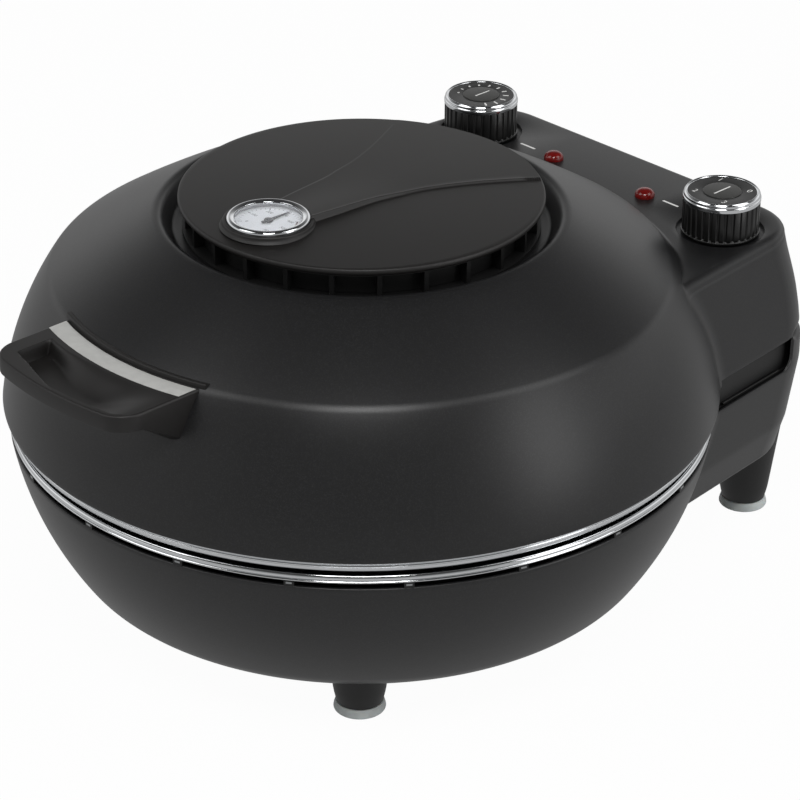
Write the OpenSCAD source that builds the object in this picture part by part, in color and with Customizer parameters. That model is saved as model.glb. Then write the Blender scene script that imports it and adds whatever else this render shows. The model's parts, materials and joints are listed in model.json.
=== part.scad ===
// Countertop electric oven for pizza: a round bowl on four legs under a hinged dome,
// with a control box at the rear. Millimetres, +Z up, handle towards -Y, controls towards +Y.
// Every module is drawn about the axis of the dome, and at_dome() moves it into the frame,
// whose origin lies under the middle of the whole object, on the table.

/* [Lid dome] */
// How far the lower edge of the dome stands out beyond the rim of the bowl
lid_over = 3.2; // [1:0.1:5]
// Height of the crease above the lower edge of the dome
lid_band_h = 69.7; // [62:0.1:76]
// How far the lower band bulges out from its chord
lid_band_bulge = 4.3; // [2:0.1:6]
// How far the dome draws in from its lower edge to the crease
band_lean = 26.8; // [22:0.1:32]
// Height of the cone between the crease and the vent recess
cone_h = 32.8; // [28:0.1:38]
// Width of the cone between the crease and the vent recess
cone_run = 57.5; // [52:0.5:62]
// Depth of the vent recess under its rim
vent_recess_d = 11.6; // [10:0.1:13]
// Distance from the rim of the recess in to the hole under the vent ring
vent_ledge = 25.5; // [22:0.5:32]
// Wall of both outer shells
shell_t = 2; // [1.5:0.1:2.5]

/* [Base bowl] */
// Outer radius of the rim of the bowl
bowl_r = 184.6; // [182:0.1:186]
// Height of the bowl from its underside to its rim
bowl_h = 77.4; // [72:0.1:84]
// How far the bowl draws in from its rim to the turn of its underside
bowl_lean = 28.9; // [24:0.1:34]
// Height of that turn above the underside
bowl_turn_h = 6; // [4:0.5:9]
// Distance from that turn in to the flat underside
bowl_flat_in = 9.7; // [6:0.1:14]
// How far the wall of the bowl bulges out from its chord
bowl_bulge = 4.2; // [2:0.1:6]
// Height of the underside of the bowl above the table
stand_h = 28; // [24:0.5:34]

/* [Trim rings] */
// Dark gap between the bowl and its chrome ring
rim_gap = 2.8; // [2:0.1:4]
// Height of the chrome ring of the base
base_trim_h = 4.6; // [4:0.1:6]
// Gap between the two chrome rings when the lid is shut
split_gap = 2.6; // [2:0.1:4]
// Height of the chrome ring of the lid
lid_trim_h = 5.7; // [5:0.1:7]
// How far the chrome ring of the base stands out beyond the bowl
base_trim_out = 0.4; // [0:0.1:1.5]
// How far the chrome ring of the lid stands back from the dome
lid_trim_in = 1.4; // [0.5:0.1:3]
// Depth of the dark gap, from the rim of the bowl in to the lip that carries the ring
clip_d = 2.2; // [1.8:0.1:4]
// Clips in the dark gap, counted round the full circle
clip_count = 20; // [16:1:24]
// Width of a clip
clip_w = 5; // [3:0.5:7]

/* [Rear box] */
// How far each side of the box stands in from the edge of the dome, where it leaves it
box_side_in = 52.8; // [49:0.1:57]
// How far each side draws in for each millimetre towards the rear
box_taper = 0.1; // [0.05:0.01:0.12]
// How far the rear wall stands behind the dome
box_depth = 42.2; // [38:0.1:50]
// Radius of the rear corners
box_corner_r = 38; // [32:1:44]
// Height of the control panel above the lower edge of the dome
panel_h = 62.7; // [60:0.1:66]
// How far the walls of the upper box lean in up to the panel
box_draft = 10.5; // [8:0.5:13]
// How far the rear wall of the upper box leans in up to the panel
box_rear_draft = 12.5; // [8:0.5:15]
// Thickness of the control panel
panel_t = 3; // [2.5:0.1:3.5]
// Rounding of the edge of the panel
panel_edge = 5; // [3:0.5:7]
// Height of the underside of the rear box above the underside of the bowl
box_lift = 24; // [20:0.5:28]
// How far the walls of the lower box lean in down to its underside
base_draft = 8.5; // [6:0.5:10]
// Height of the slot between the boxes
slot_h = 17; // [15:0.5:19]
// Height of the middle of the slot above the middle of the gap between the shells
slot_lift = 2.25; // [1:0.05:3]
// Distance from the rear end of the slot to the rear wall
slot_rear = 31; // [27:0.5:39]

/* [Legs] */
// Distance from the edge of the flat underside in to the front legs, sideways
front_leg_side = 55.4; // [52:0.1:60]
// Distance from the side of the box in to the rear legs
rear_leg_side = 48.4; // [47:0.1:55]
// Distance from the edge of the flat underside in to the front legs, rearwards
front_leg_front = 59.8; // [54:0.1:66]
// Distance from the rear wall in to the rear legs
rear_leg_rear = 15; // [14:0.5:20]
// Radius of a leg just above its pad
leg_foot_r = 12; // [10:0.1:13]
// Radius of a leg at its top
leg_top_r = 14.5; // [13:0.1:15]
// Radius of a foot pad
pad_r = 13.4; // [13:0.1:15]
// Height of a foot pad
pad_h = 4.8; // [3:0.1:6]

/* [Oven chamber] */
// Distance from the rim of the bowl in to the baking stone
stone_margin = 28.6; // [26:0.1:34]
// Thickness of the baking stone
stone_t = 12; // [8:0.5:14]
// Depth of the stone ledge below the rim of the bowl
ledge_d = 15.9; // [13:0.1:20]
// Depth of the floor of the pan below the stone ledge
pan_d = 24.5; // [22:0.5:28]
// Sheet thickness of the pan and the liner
sheet_t = 1; // [0.8:0.1:1.5]
// Gap between the flat top of the liner and the floor of the vent recess
liner_gap = 18; // [15:0.5:24]
// Radius of the tube of a heating element
element_tube_r = 4; // [3:0.1:4.5]
// Radius of the straight ends of a heating element
element_pin_r = 3.2; // [2.6:0.1:3.2]
// Distance from the edge of the stone in to the ring of a heating element
element_in = 38; // [34:0.5:48]
// Height of the lower element above the floor of the pan
low_element_h = 12; // [10:0.5:14]
// Depth of the upper element below the flat top of the liner
up_element_d = 29; // [24:0.5:34]
// Distance of the ends of an element from the middle plane
element_leg_x = 20.5; // [16:0.5:30]
// Radius of the ceramic bushes
bush_r = 7; // [6:0.5:8]

/* [Vent cover and thermometer] */
// Gap between the vent cover and the rim of the recess
cover_gap = 9.6; // [7:0.1:12]
// Height of the edge of the cover above the vent rim
cover_rise = 7.1; // [6:0.1:9]
// How far the middle of the cover stands above its edge
cover_crown = 3; // [1:0.1:4]
// Thickness of the edge of the cover
cover_t = 3.2; // [2.5:0.1:4]
// Ribs of the vent ring
rib_count = 24; // [18:1:30]
// Width of a rib
rib_w = 2.4; // [1.5:0.1:3.5]
// Distance from the front edge of the cover in to the middle of the thermometer
gauge_in = 30.4; // [28:0.1:36]
// Outer radius of the chrome bezel
bezel_r = 21.1; // [20:0.1:23]
// Radius of the boss round the thermometer
gauge_boss_r = 22.7; // [22.2:0.1:24]
// Height of the bezel above the edge of the cover
gauge_rise = 6.5; // [5:0.1:8]
// Radius of the body of the thermometer
gauge_r = 19; // [17:0.1:19.5]
// Length of the needle from its pivot
needle_len = 14; // [10:0.5:15]

/* [Knobs and lamps] */
// Distance from the side of the box in to the middle of a knob
knob_side = 44.7; // [43:0.1:50]
// Distance from the rear wall in to the middle of a knob
knob_rear = 53; // [50:0.5:56]
// Outer radius of a knob over its ribs
knob_r = 21; // [19:0.1:22]
// Height of the top of a knob above the panel
knob_h = 22.8; // [18:0.1:26]
// Ribs round a knob
knob_ribs = 32; // [24:1:40]
// Radius of the round face of a knob
knob_face_r = 18.3; // [16:0.1:18.6]
// Radius of the cap in the middle of the face
knob_cap_r = 10.3; // [8:0.1:12]
// Radius of the well round a knob
well_r = 24; // [23:0.1:25]
// Depth of the well
well_d = 1.5; // [1:0.1:2]
// Radius of the spindles
spindle_r = 3; // [2.5:0.1:3.5]
// Distance from the legs of the elements out to the pilot lamps above them
lamp_out = 13.8; // [11:0.1:16]
// Radius of a pilot lens
lamp_r = 5.5; // [4.5:0.1:6]

/* [Handle] */
// Width of the handle
handle_w = 101; // [90:0.5:112]
// Reach of the front bar of the handle beyond the crease
handle_out = 45.6; // [40:0.1:52]
// Thickness of the front bar
bar_h = 9; // [8:0.1:12]
// Depth of the recess in the top of the handle
tray_d = 6.5; // [4:0.1:6.8]
// Width of the rim left round that recess
tray_rim = 11.3; // [9:0.1:14]
// Radius of the front corners of the handle
handle_corner_r = 12; // [9:0.5:16]
// Width of the pale strip beside the dome
insert_w = 10.6; // [8:0.1:12]
// How far the side cheeks reach down below the top
cheek_d = 23.5; // [18:0.5:28]
// Thickness of a side cheek
cheek_t = 4; // [3:0.1:6]

/* [Hinge] */
// Distance of the hinge axis behind the rear wall
hinge_out = 5; // [4.8:0.1:7]
// Radius of the hinge knuckles
knuckle_r = 4.5; // [4:0.1:4.6]
// Radius of the hinge pins
pin_r = 2.5; // [2:0.1:3]
// Distance from the side of the box in to the middle of a hinge
hinge_side = 67; // [65:1:75]
// Width of a hinge leaf
leaf_w = 40; // [34:1:44]
// Thickness of a hinge leaf
leaf_t = 2; // [1.5:0.1:2.5]

/* [Fits] */
// Radial clearance of what turns
run_gap = 0.05; // [0.02:0.01:0.08]
// Clearance of what is only held
seat_gap = 0.05; // [0.03:0.01:0.1]
// Gap between a knob and the floor of its well
knob_gap = 0.6; // [0.4:0.1:1]
// Gap along the hinge axis between the knuckles
knuckle_gap = 0.3; // [0.2:0.1:0.6]
// Radius of all screws
screw_r = 2; // [1.5:0.1:2.2]

/* [Hidden] */
$fn = 96;

charcoal = "#3a3a3b";
black = "#262524";
chrome = "#c9ccd0";
steel = "#9a9c9e";
pale = "#a9a9a7";
ceramic = "#e6e0d2";

// Radii, from the rim of the bowl
lid_r = bowl_r + lid_over;
crease_r = lid_r - band_lean;
vent_rim_r = crease_r - cone_run;
vent_hole_r = vent_rim_r - vent_ledge;
bowl_turn_r = bowl_r - bowl_lean;
bowl_flat_r = bowl_turn_r - bowl_flat_in;
base_trim_r = bowl_r + base_trim_out;
lid_trim_r = lid_r - lid_trim_in;
lip_r = bowl_r - clip_d;
stone_r = bowl_r - stone_margin;
element_r = stone_r - element_in;
cover_r = vent_rim_r - cover_gap;

// Plan, from the dome to the rear wall
box_w = 2 * (lid_r - box_side_in);
box_rear = lid_r + box_depth;
slot_end = box_rear - slot_rear;
front_leg_x = bowl_flat_r - front_leg_side;
front_leg_y = bowl_flat_r - front_leg_front;
rear_leg_x = box_w / 2 - rear_leg_side;
rear_leg_y = box_rear - rear_leg_rear;
gauge_y = cover_r - gauge_in;
knob_x = box_w / 2 - knob_side;
knob_y = box_rear - knob_rear;
lamp_x = element_leg_x + lamp_out;
handle_reach = crease_r + handle_out;
hinge_x = box_w / 2 - hinge_side;

// Heights, from the table up
bowl_top_z = stand_h + bowl_h;
box_floor_z = stand_h + box_lift;
ledge_z = bowl_top_z - ledge_d;
pan_floor_z = ledge_z - pan_d;
low_element_z = pan_floor_z + low_element_h;
base_trim_z = bowl_top_z + rim_gap;
base_trim_top = base_trim_z + base_trim_h;
lid_trim_z = base_trim_top + split_gap;
lid_z = lid_trim_z + lid_trim_h;
crease_z = lid_z + lid_band_h;
vent_rim_z = crease_z + cone_h;
vent_floor_z = vent_rim_z - vent_recess_d;
liner_top_z = vent_floor_z - liner_gap;
up_element_z = liner_top_z - up_element_d;
cover_z = vent_rim_z + cover_rise;
gauge_z = cover_z + gauge_rise;
panel_z = lid_z + panel_h;
knob_top_z = panel_z + knob_h;

// The slot between the boxes is centred on the split of the rear, where the hinge axis lies
slot_mid_z = (bowl_top_z + lid_z) / 2 + slot_lift;
slot_low_z = slot_mid_z - slot_h / 2;
slot_top_z = slot_mid_z + slot_h / 2;
hinge_z = slot_mid_z + 1.5;
rear_split = 0.5;
hinge_y = box_rear + hinge_out;
rear_reach = hinge_y + knuckle_r;
dome_y = (handle_reach - rear_reach) / 2;

// Plan of the box: it starts inside the dome, at box_front
box_front = lid_r - 97.8;
box_mouth = lid_r - 57.8;
land = 1;
floor_t = 2;
handle_top_z = crease_z + 0.2;
leaf_pad_h = 24;
well_floor_z = panel_z - well_d;
bracket_z = panel_z - 12;
bracket_t = 1.5;

module at_dome() {
    translate([0, dome_y, 0]) children();
}

module both_sides() {
    children();
    mirror([1, 0, 0]) children();
}

module ring(inner, outer, low, high) {
    rotate_extrude() translate([inner, low]) square([outer - inner, high - low]);
}

module rod(r, low, high) {
    translate([0, 0, low]) cylinder(r = r, h = high - low);
}

// A rod along Y, from y = near to y = far
module rod_y(r, near, far) {
    translate([0, near, 0]) rotate([-90, 0, 0]) cylinder(r = r, h = far - near);
}

// A rod along X, from x = low to x = high
module rod_x(r, low, high) {
    translate([low, 0, 0]) rotate([0, 90, 0]) cylinder(r = r, h = high - low);
}

// A block between two corners
module block(a, b) {
    translate(a) cube(b - a);
}

// Points of a shallow arc from p to q that stands out by sag to the right of its chord
function arc(p, q, sag, n) = [
    for (i = [0:n])
        let (t = i / n, d = q - p, u = d / norm(d))
        p + t * d + 4 * sag * t * (1 - t) * [u[1], -u[0]]
];

function reverse(list) = [for (i = [len(list) - 1:-1:0]) list[i]];

// A sheet of constant thickness spun from its inner path, with the outside at +shift
module spun_sheet(path, shift) {
    rotate_extrude() polygon(concat(path, reverse([for (p = path) p + shift])));
}

// ---------- plan and walls of the rear box ----------

function side_at(y, side_in) = box_w / 2 - side_in - box_taper * (y - box_mouth);

module box_plan(side_in, rear_in) {
    r = box_corner_r - rear_in;
    rear = box_rear - rear_in;
    centre_y = rear - r;
    centre_x = side_at(centre_y, side_in) - r * sqrt(1 + box_taper * box_taper);
    lean = atan(box_taper);
    front_x = side_at(box_front, side_in);
    touch = [centre_x + r * cos(lean), centre_y + r * sin(lean)];
    polygon([
        [-front_x, box_front], [front_x, box_front], touch, [centre_x, rear],
        [-centre_x, rear], [-touch[0], touch[1]]
    ]);
    for (side = [-1, 1]) translate([side * centre_x, centre_y]) circle(r = r);
}

// A convex box through levels of [height, side inset, rear inset], each with a short upright land
module box_body(levels, wall) {
    hull() for (level = levels)
        translate([0, 0, level[0]]) linear_extrude(land)
            box_plan(level[1] + wall, level[2] + wall, $fn = 48);
}

upper_levels = [
    [hinge_z + rear_split, 0, 0],
    [panel_z - land - panel_edge, box_draft, box_rear_draft],
    [panel_z - land - panel_edge * 0.3, box_draft + panel_edge * 0.3, box_rear_draft + panel_edge * 0.3],
    [panel_z - land, box_draft + panel_edge, box_rear_draft + panel_edge]
];
upper_inner = [
    [hinge_z - 2, 0, 0],
    [panel_z - land - panel_edge - panel_t, box_draft, box_rear_draft],
    [panel_z - land - panel_t, box_draft + panel_edge / 2, box_rear_draft + panel_edge / 2]
];
lower_levels = [
    [box_floor_z, base_draft, 0],
    [box_floor_z + 20, base_draft * 0.4, 0],
    [hinge_z - rear_split - land, 0, 0]
];
lower_inner = [
    [box_floor_z + shell_t, base_draft, 0],
    [box_floor_z + 20 + shell_t, base_draft * 0.4, 0],
    [hinge_z + 2, 0, 0]
];

// The slot, round at its rear end
module slot_cut() {
    r = slot_h / 2;
    block([-lid_r, 0, slot_low_z], [lid_r, slot_end - r, slot_top_z]);
    translate([0, slot_end - r, slot_mid_z]) rod_x(r, -lid_r, lid_r);
}

// The same slot in the lid, which leaves the lower edge of the dome whole
module lid_slot_cut() {
    difference() {
        slot_cut();
        rod(lid_r, lid_z, slot_top_z + 1);
    }
}

// ---------- base ----------

bowl_wall = arc([bowl_turn_r, stand_h + bowl_turn_h], [bowl_r, bowl_top_z], bowl_bulge, 12);
bowl_in = arc(
    [bowl_turn_r - shell_t, stand_h + bowl_turn_h], [bowl_r - shell_t, bowl_top_z], bowl_bulge, 12
);

module bowl_body() {
    rotate_extrude() polygon(concat([[0, stand_h], [bowl_flat_r, stand_h]], bowl_wall, [[0, bowl_top_z]]));
}

module bowl_hollow() {
    rotate_extrude() polygon(concat(
        [[0, stand_h + shell_t], [bowl_flat_r, stand_h + shell_t]], bowl_in,
        [[bowl_r - shell_t, hinge_z + 4], [0, hinge_z + 4]]
    ));
}

leg_places = [
    [-front_leg_x, -front_leg_y], [front_leg_x, -front_leg_y],
    [-rear_leg_x, rear_leg_y], [rear_leg_x, rear_leg_y]
];
function leg_top(place) = place[1] < 0 ? stand_h : box_floor_z;

gland_x = -hinge_x + leaf_w / 2 + 3;
gland_z = box_floor_z + 26;
gland_r = 8;
cover_x = rear_leg_x - leg_top_r - 12.1;
cover_y1 = box_rear - 48;
cover_y2 = box_rear - 18;
cover_lap = 8;
plate_t = 2.5;

module base_shell() at_dome() color(charcoal) {
    difference() {
        union() {
            bowl_body();
            box_body(lower_levels, 0);
        }
        difference() {
            union() {
                bowl_hollow();
                box_body(lower_inner, shell_t);
            }
            both_sides() leaf_boss(hinge_z - rear_split - leaf_pad_h, hinge_z);
        }
        slot_cut();
        block([-cover_x, cover_y1, box_floor_z - 1], [cover_x, cover_y2, box_floor_z + shell_t + 1]);
        translate([gland_x, 0, gland_z]) rod_y(gland_r + seat_gap, box_rear - 20, box_rear + 5);
        for (place = leg_places)
            translate([place[0], place[1], 0])
                rod(screw_r + seat_gap, leg_top(place) - 1, leg_top(place) + shell_t + 1);
        cover_screw_places() rod(screw_r + seat_gap, box_floor_z - 1, box_floor_z + shell_t + 1);
    }
    ring(lip_r - 2, lip_r, bowl_top_z - 6, base_trim_z);
    ring(lip_r - 2, bowl_r - shell_t + 1, bowl_top_z - 6, bowl_top_z - 3);
}

// Solid behind a hinge leaf, in from the rear wall
module leaf_boss(low, high) {
    block(
        [hinge_x - leaf_w / 2 - 2, box_rear - 12, low],
        [hinge_x + leaf_w / 2 + 2, box_rear, high]
    );
}

module base_trim_ring() at_dome() color(chrome) {
    mid = base_trim_z + base_trim_h / 2;
    rotate_extrude() polygon([
        [lip_r - 2, base_trim_z], [base_trim_r - 0.4, base_trim_z], [base_trim_r, base_trim_z + 0.5],
        [base_trim_r, mid - 0.3], [base_trim_r - 0.4, mid], [base_trim_r, mid + 0.3],
        [base_trim_r, base_trim_top - 0.7], [base_trim_r - 0.7, base_trim_top],
        [lip_r - 6, base_trim_top], [lip_r - 6, base_trim_top - sheet_t],
        [lip_r - 2, base_trim_top - sheet_t]
    ]);
}

module rim_clips() at_dome() color(black)
    for (i = [0:clip_count - 1]) {
        turn = i * 360 / clip_count - 90;
        if (sin(turn) * bowl_r < box_mouth - 12) rotate([0, 0, turn]) block(
            [lip_r + seat_gap, -clip_w / 2, bowl_top_z],
            [bowl_r - clip_d * 0.1, clip_w / 2, base_trim_z]
        );
    }

pan_floor_r = stone_r - 10;
pan_path = [
    [lip_r - 3, base_trim_top - sheet_t], [stone_r + 16, base_trim_top - sheet_t],
    [stone_r + 11, ledge_z], [stone_r - 5, ledge_z], [pan_floor_r, pan_floor_z], [0, pan_floor_z]
];

module base_pan() at_dome() color(steel) difference() {
    spun_sheet(pan_path, [sheet_t * 0.8, -sheet_t]);
    element_leg_places(low_element_z) rod_y(bush_r + seat_gap, element_r, element_r + 70);
}

module baking_stone() at_dome() color(ceramic) rotate_extrude() polygon([
    [0, ledge_z], [stone_r - 1.5, ledge_z], [stone_r, ledge_z + 1.5],
    [stone_r, ledge_z + stone_t - 1.5], [stone_r - 1.5, ledge_z + stone_t], [0, ledge_z + stone_t]
]);

// ---------- heating elements ----------

module element_leg_places(z) {
    both_sides() translate([element_leg_x, 0, z]) children();
}

// A ring open at the rear, with two thinner legs that run back from just before its ends
module element(z, reach) {
    gap = asin((element_leg_x - 5) / element_r);
    start = sqrt(element_r * element_r - element_leg_x * element_leg_x);
    rotate([0, 0, 90 + gap]) translate([0, 0, z])
        rotate_extrude(angle = 360 - 2 * gap)
            translate([element_r, 0]) rotate(180) circle(r = element_tube_r);
    element_leg_places(z) rod_y(element_pin_r, start, reach);
}

bush_flange_r = bush_r + 2.5;

// Two bushes through a sheet whose outer side is at wall_y, with their flanges behind it
module element_bushes(z, wall_y) {
    element_leg_places(z) difference() {
        union() {
            rod_y(bush_r, wall_y - 13, wall_y + 4);
            rod_y(bush_flange_r, wall_y, wall_y + 4);
        }
        rod_y(element_pin_r + seat_gap, wall_y - 14, wall_y + 5);
    }
}

// How far behind the axis a round wall of radius r is, at the inner side of the bush flanges
function leg_wall(r) = sqrt(r * r - pow(element_leg_x - bush_flange_r, 2));

// A plate with a hole for the tube and a stem to the sheet that carries it
module element_clip(z, seat_z) {
    up = seat_z > z;
    reach = element_tube_r + 3;
    difference() {
        union() {
            block([element_r - reach, -1, z - reach], [element_r + reach, 1, z + reach]);
            block([element_r - 2, -1, min(seat_z, z)], [element_r + 2, 1, max(seat_z, z)]);
            block([element_r - 6, -3, up ? seat_z - 1 : seat_z],
                [element_r + 6, 3, up ? seat_z : seat_z + 1]);
        }
        translate([element_r, 0, z]) rotate([90, 0, 0])
            cylinder(r = element_tube_r + seat_gap + 0.15, h = 8, center = true);
    }
}

clip_turns = [-150, -90, -30];
low_leg_end = box_rear - 54;
up_leg_end = box_rear - 38;

module lower_element() at_dome() color(black) element(low_element_z, low_leg_end);

module lower_element_clips() at_dome() color(steel)
    for (turn = clip_turns) rotate([0, 0, turn]) element_clip(low_element_z, pan_floor_z);

module lower_bushes() at_dome() color(ceramic)
    element_bushes(low_element_z, leg_wall(pan_floor_r + 6.5));

module upper_element() at_dome() color(black) element(up_element_z, up_leg_end);

module upper_element_clips() at_dome() color(steel)
    for (turn = clip_turns) rotate([0, 0, turn]) element_clip(up_element_z, liner_top_z);

module upper_bushes() at_dome() color(ceramic)
    element_bushes(up_element_z, leg_wall(liner_wall_r(up_element_z - bush_flange_r)));

// ---------- rear of the base ----------

deck_z = slot_low_z - 3;
skirt_in = 5;
skirt_t = 1.5;

// A low wall that follows the box inside the slot, over the deck
module rear_deck() at_dome() color(black) {
    difference() {
        linear_extrude(deck_z + floor_t) box_plan(shell_t + 1.5, shell_t + 1.5);
        translate([0, 0, -1]) cylinder(r = base_trim_r + 1.5, h = hinge_z);
        rod(bowl_r * 2, -1, deck_z);
        both_sides() leaf_boss_room();
    }
    difference() {
        linear_extrude(slot_top_z - 2) box_plan(skirt_in, skirt_in);
        translate([0, 0, -1]) linear_extrude(hinge_z * 2) box_plan(skirt_in + skirt_t, skirt_in + skirt_t);
        translate([0, 0, -1]) cylinder(r = lid_r + 0.8, h = hinge_z * 2);
        rod(bowl_r * 2, -1, deck_z);
        both_sides() leaf_boss_room();
    }
}

module leaf_boss_room() {
    block(
        [hinge_x - leaf_w / 2 - 2.5, box_rear - 12.5, 0],
        [hinge_x + leaf_w / 2 + 2.5, box_rear + 1, hinge_z * 2]
    );
}

module cover_screw_places() {
    both_sides() for (y = [cover_y1 - cover_lap / 2, cover_y2 + cover_lap / 2])
        translate([cover_x - 6, y, 0]) children();
}

module wiring_cover() at_dome() color(black) difference() {
    block(
        [-cover_x - cover_lap, cover_y1 - cover_lap, box_floor_z - plate_t],
        [cover_x + cover_lap, cover_y2 + cover_lap, box_floor_z]
    );
    cover_screw_places() rod(screw_r + seat_gap, box_floor_z - plate_t - 1, box_floor_z + 1);
}

module cover_screws() at_dome() color(steel) cover_screw_places() {
    rod(screw_r, box_floor_z - plate_t, box_floor_z + shell_t + 4);
    rod(screw_r * 2, box_floor_z - plate_t - 1.8, box_floor_z - plate_t);
}

terminal_w = 48;
terminal_d = 16;
terminal_h = 18;

module terminal_block() at_dome() color(ceramic) translate([0, cover_y1 + 5, box_floor_z])
    difference() {
        block([-terminal_w / 2, 0, 0], [terminal_w / 2, terminal_d, terminal_h]);
        for (x = [-1, 0, 1]) translate([x * terminal_w / 3, terminal_d / 2, 0])
            rod(2.5, terminal_h - 10, terminal_h + 1);
    }

module cable_gland() at_dome() color(black) translate([gland_x, 0, gland_z]) difference() {
    union() {
        rod_y(gland_r, box_rear - 16, box_rear);
        rod_y(gland_r + 3, box_rear, box_rear + 3);
        rod_y(gland_r, box_rear, rear_reach);
        rod_y(gland_r + 3, box_rear - shell_t - 4, box_rear - shell_t - 0.1);
    }
    rod_y(4, box_rear - 17, rear_reach + 1);
}

// ---------- legs ----------

module leg(place) translate([place[0], place[1], 0]) {
    top = leg_top(place);
    difference() {
        translate([0, 0, pad_h]) cylinder(r1 = leg_foot_r, r2 = leg_top_r, h = top - pad_h);
        rod(screw_r + seat_gap, top - 12, top + 1);
        rod(leg_foot_r * 0.6 + seat_gap, pad_h - 1, pad_h + 4);
    }
}

module pad(place) translate([place[0], place[1], 0]) {
    rotate_extrude() polygon([
        [0, 0], [pad_r - 1.2, 0], [pad_r, 1.6], [pad_r, pad_h - 1.2], [pad_r - 0.8, pad_h], [0, pad_h]
    ]);
    rod(leg_foot_r * 0.6, pad_h - 0.5, pad_h + 3.8);
}

module front_leg_left() at_dome() color(black) leg(leg_places[0]);
module front_leg_right() at_dome() color(black) leg(leg_places[1]);
module rear_leg_left() at_dome() color(black) leg(leg_places[2]);
module rear_leg_right() at_dome() color(black) leg(leg_places[3]);
module front_pad_left() at_dome() color(pale) pad(leg_places[0]);
module front_pad_right() at_dome() color(pale) pad(leg_places[1]);
module rear_pad_left() at_dome() color(pale) pad(leg_places[2]);
module rear_pad_right() at_dome() color(pale) pad(leg_places[3]);

module leg_screws() at_dome() color(steel) for (place = leg_places)
    translate([place[0], place[1], 0]) {
        rod(screw_r, leg_top(place) - 11, leg_top(place) + shell_t);
        rod(screw_r * 2, leg_top(place) + shell_t, leg_top(place) + shell_t + 2);
    }

// ---------- hinge ----------

outer_knuckle = leaf_w / 4;

module base_hinge_brackets() at_dome() color(steel) both_sides() translate([hinge_x, 0, 0])
    difference() {
        union() {
            block([-leaf_w / 2, box_rear, hinge_z - 25], [leaf_w / 2, box_rear + leaf_t, hinge_z - 6]);
            for (side = [-1, 1]) {
                near = side < 0 ? -leaf_w / 2 : leaf_w / 2 - outer_knuckle;
                block([near, box_rear, hinge_z - 7], [near + outer_knuckle, box_rear + leaf_t, hinge_z - 1]);
                translate([0, hinge_y, hinge_z]) rod_x(knuckle_r, near, near + outer_knuckle);
                block([near, box_rear, hinge_z - 4.5], [near + outer_knuckle, hinge_y, hinge_z - 2.6]);
            }
        }
        translate([0, hinge_y, hinge_z]) rod_x(pin_r + run_gap, -leaf_w, leaf_w);
    }

module lid_hinge_brackets() at_dome() color(steel) both_sides() translate([hinge_x, 0, 0])
    difference() {
        inner = leaf_w / 2 - outer_knuckle - knuckle_gap;
        union() {
            block([-leaf_w / 2, box_rear, hinge_z + 6], [leaf_w / 2, box_rear + leaf_t, hinge_z + 23]);
            block([-inner, box_rear, hinge_z + 1], [inner, box_rear + leaf_t, hinge_z + 7]);
            translate([0, hinge_y, hinge_z]) rod_x(knuckle_r, -inner, inner);
            block([-inner, box_rear, hinge_z + 2.6], [inner, hinge_y, hinge_z + 4.5]);
        }
        translate([0, hinge_y, hinge_z]) rod_x(pin_r + run_gap, -leaf_w, leaf_w);
    }

module hinge_pins() at_dome() color(chrome) both_sides()
    translate([hinge_x, hinge_y, hinge_z]) rod_x(pin_r, -leaf_w / 2 - 1.5, leaf_w / 2 + 1.5);

// ---------- lid ----------

dome_band = arc([lid_r, lid_z], [crease_r, crease_z], lid_band_bulge, 12);
dome_cone = arc([crease_r, crease_z], [vent_rim_r, vent_rim_z], 0.8, 6);
band_in = arc([lid_r - shell_t, lid_z], [crease_r - shell_t, crease_z - shell_t * 0.6], lid_band_bulge, 12);
recess_floor_r = vent_rim_r - 6.5;

module dome_body() {
    rotate_extrude() polygon(concat([[0, lid_z]], dome_band, dome_cone, [[0, vent_rim_z]]));
}

module dome_hollow() {
    drop = shell_t * 1.2;
    slope = (vent_rim_z - crease_z) / (crease_r - vent_rim_r);
    rotate_extrude() polygon(concat(
        [[0, lid_z - 10], [lid_r - shell_t, lid_z - 10]], band_in,
        [
            [vent_rim_r + 2.5, vent_rim_z - drop - 2.5 * slope],
            [recess_floor_r + shell_t, vent_floor_z - shell_t], [0, vent_floor_z - shell_t]
        ]
    ));
}

module lid_shell() at_dome() color(charcoal) difference() {
    union() {
        dome_body();
        box_body(upper_levels, 0);
        both_sides() intersection() {
            leaf_boss(hinge_z + rear_split, hinge_z + rear_split + leaf_pad_h);
            rod(box_rear * 2, 0, panel_z);
        }
    }
    difference() {
        union() {
            dome_hollow();
            box_body(upper_inner, shell_t);
        }
        both_sides() leaf_boss(hinge_z, hinge_z + rear_split + leaf_pad_h);
        handle_screw_places() block([-5, -2, -5], [5, handle_boss, 5]);
    }
    lid_slot_cut();
    rotate_extrude() polygon([
        [0, vent_floor_z], [recess_floor_r, vent_floor_z], [vent_rim_r, vent_rim_z],
        [vent_rim_r, vent_rim_z + 9], [0, vent_rim_z + 9]
    ]);
    rod(vent_hole_r, vent_floor_z - 9, vent_floor_z + 1);
    both_sides() translate([knob_x, knob_y, 0]) {
        rod(well_r, well_floor_z, panel_z + 9);
        rod(spindle_r + 1, well_floor_z - 9, well_floor_z + 1);
    }
    both_sides() translate([lamp_x, knob_y, 0]) rod(lamp_r - 0.7 + seat_gap, panel_z - 9, panel_z + 9);
    handle_screw_places() rod_y(screw_r + seat_gap, -12, 12);
}

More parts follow.
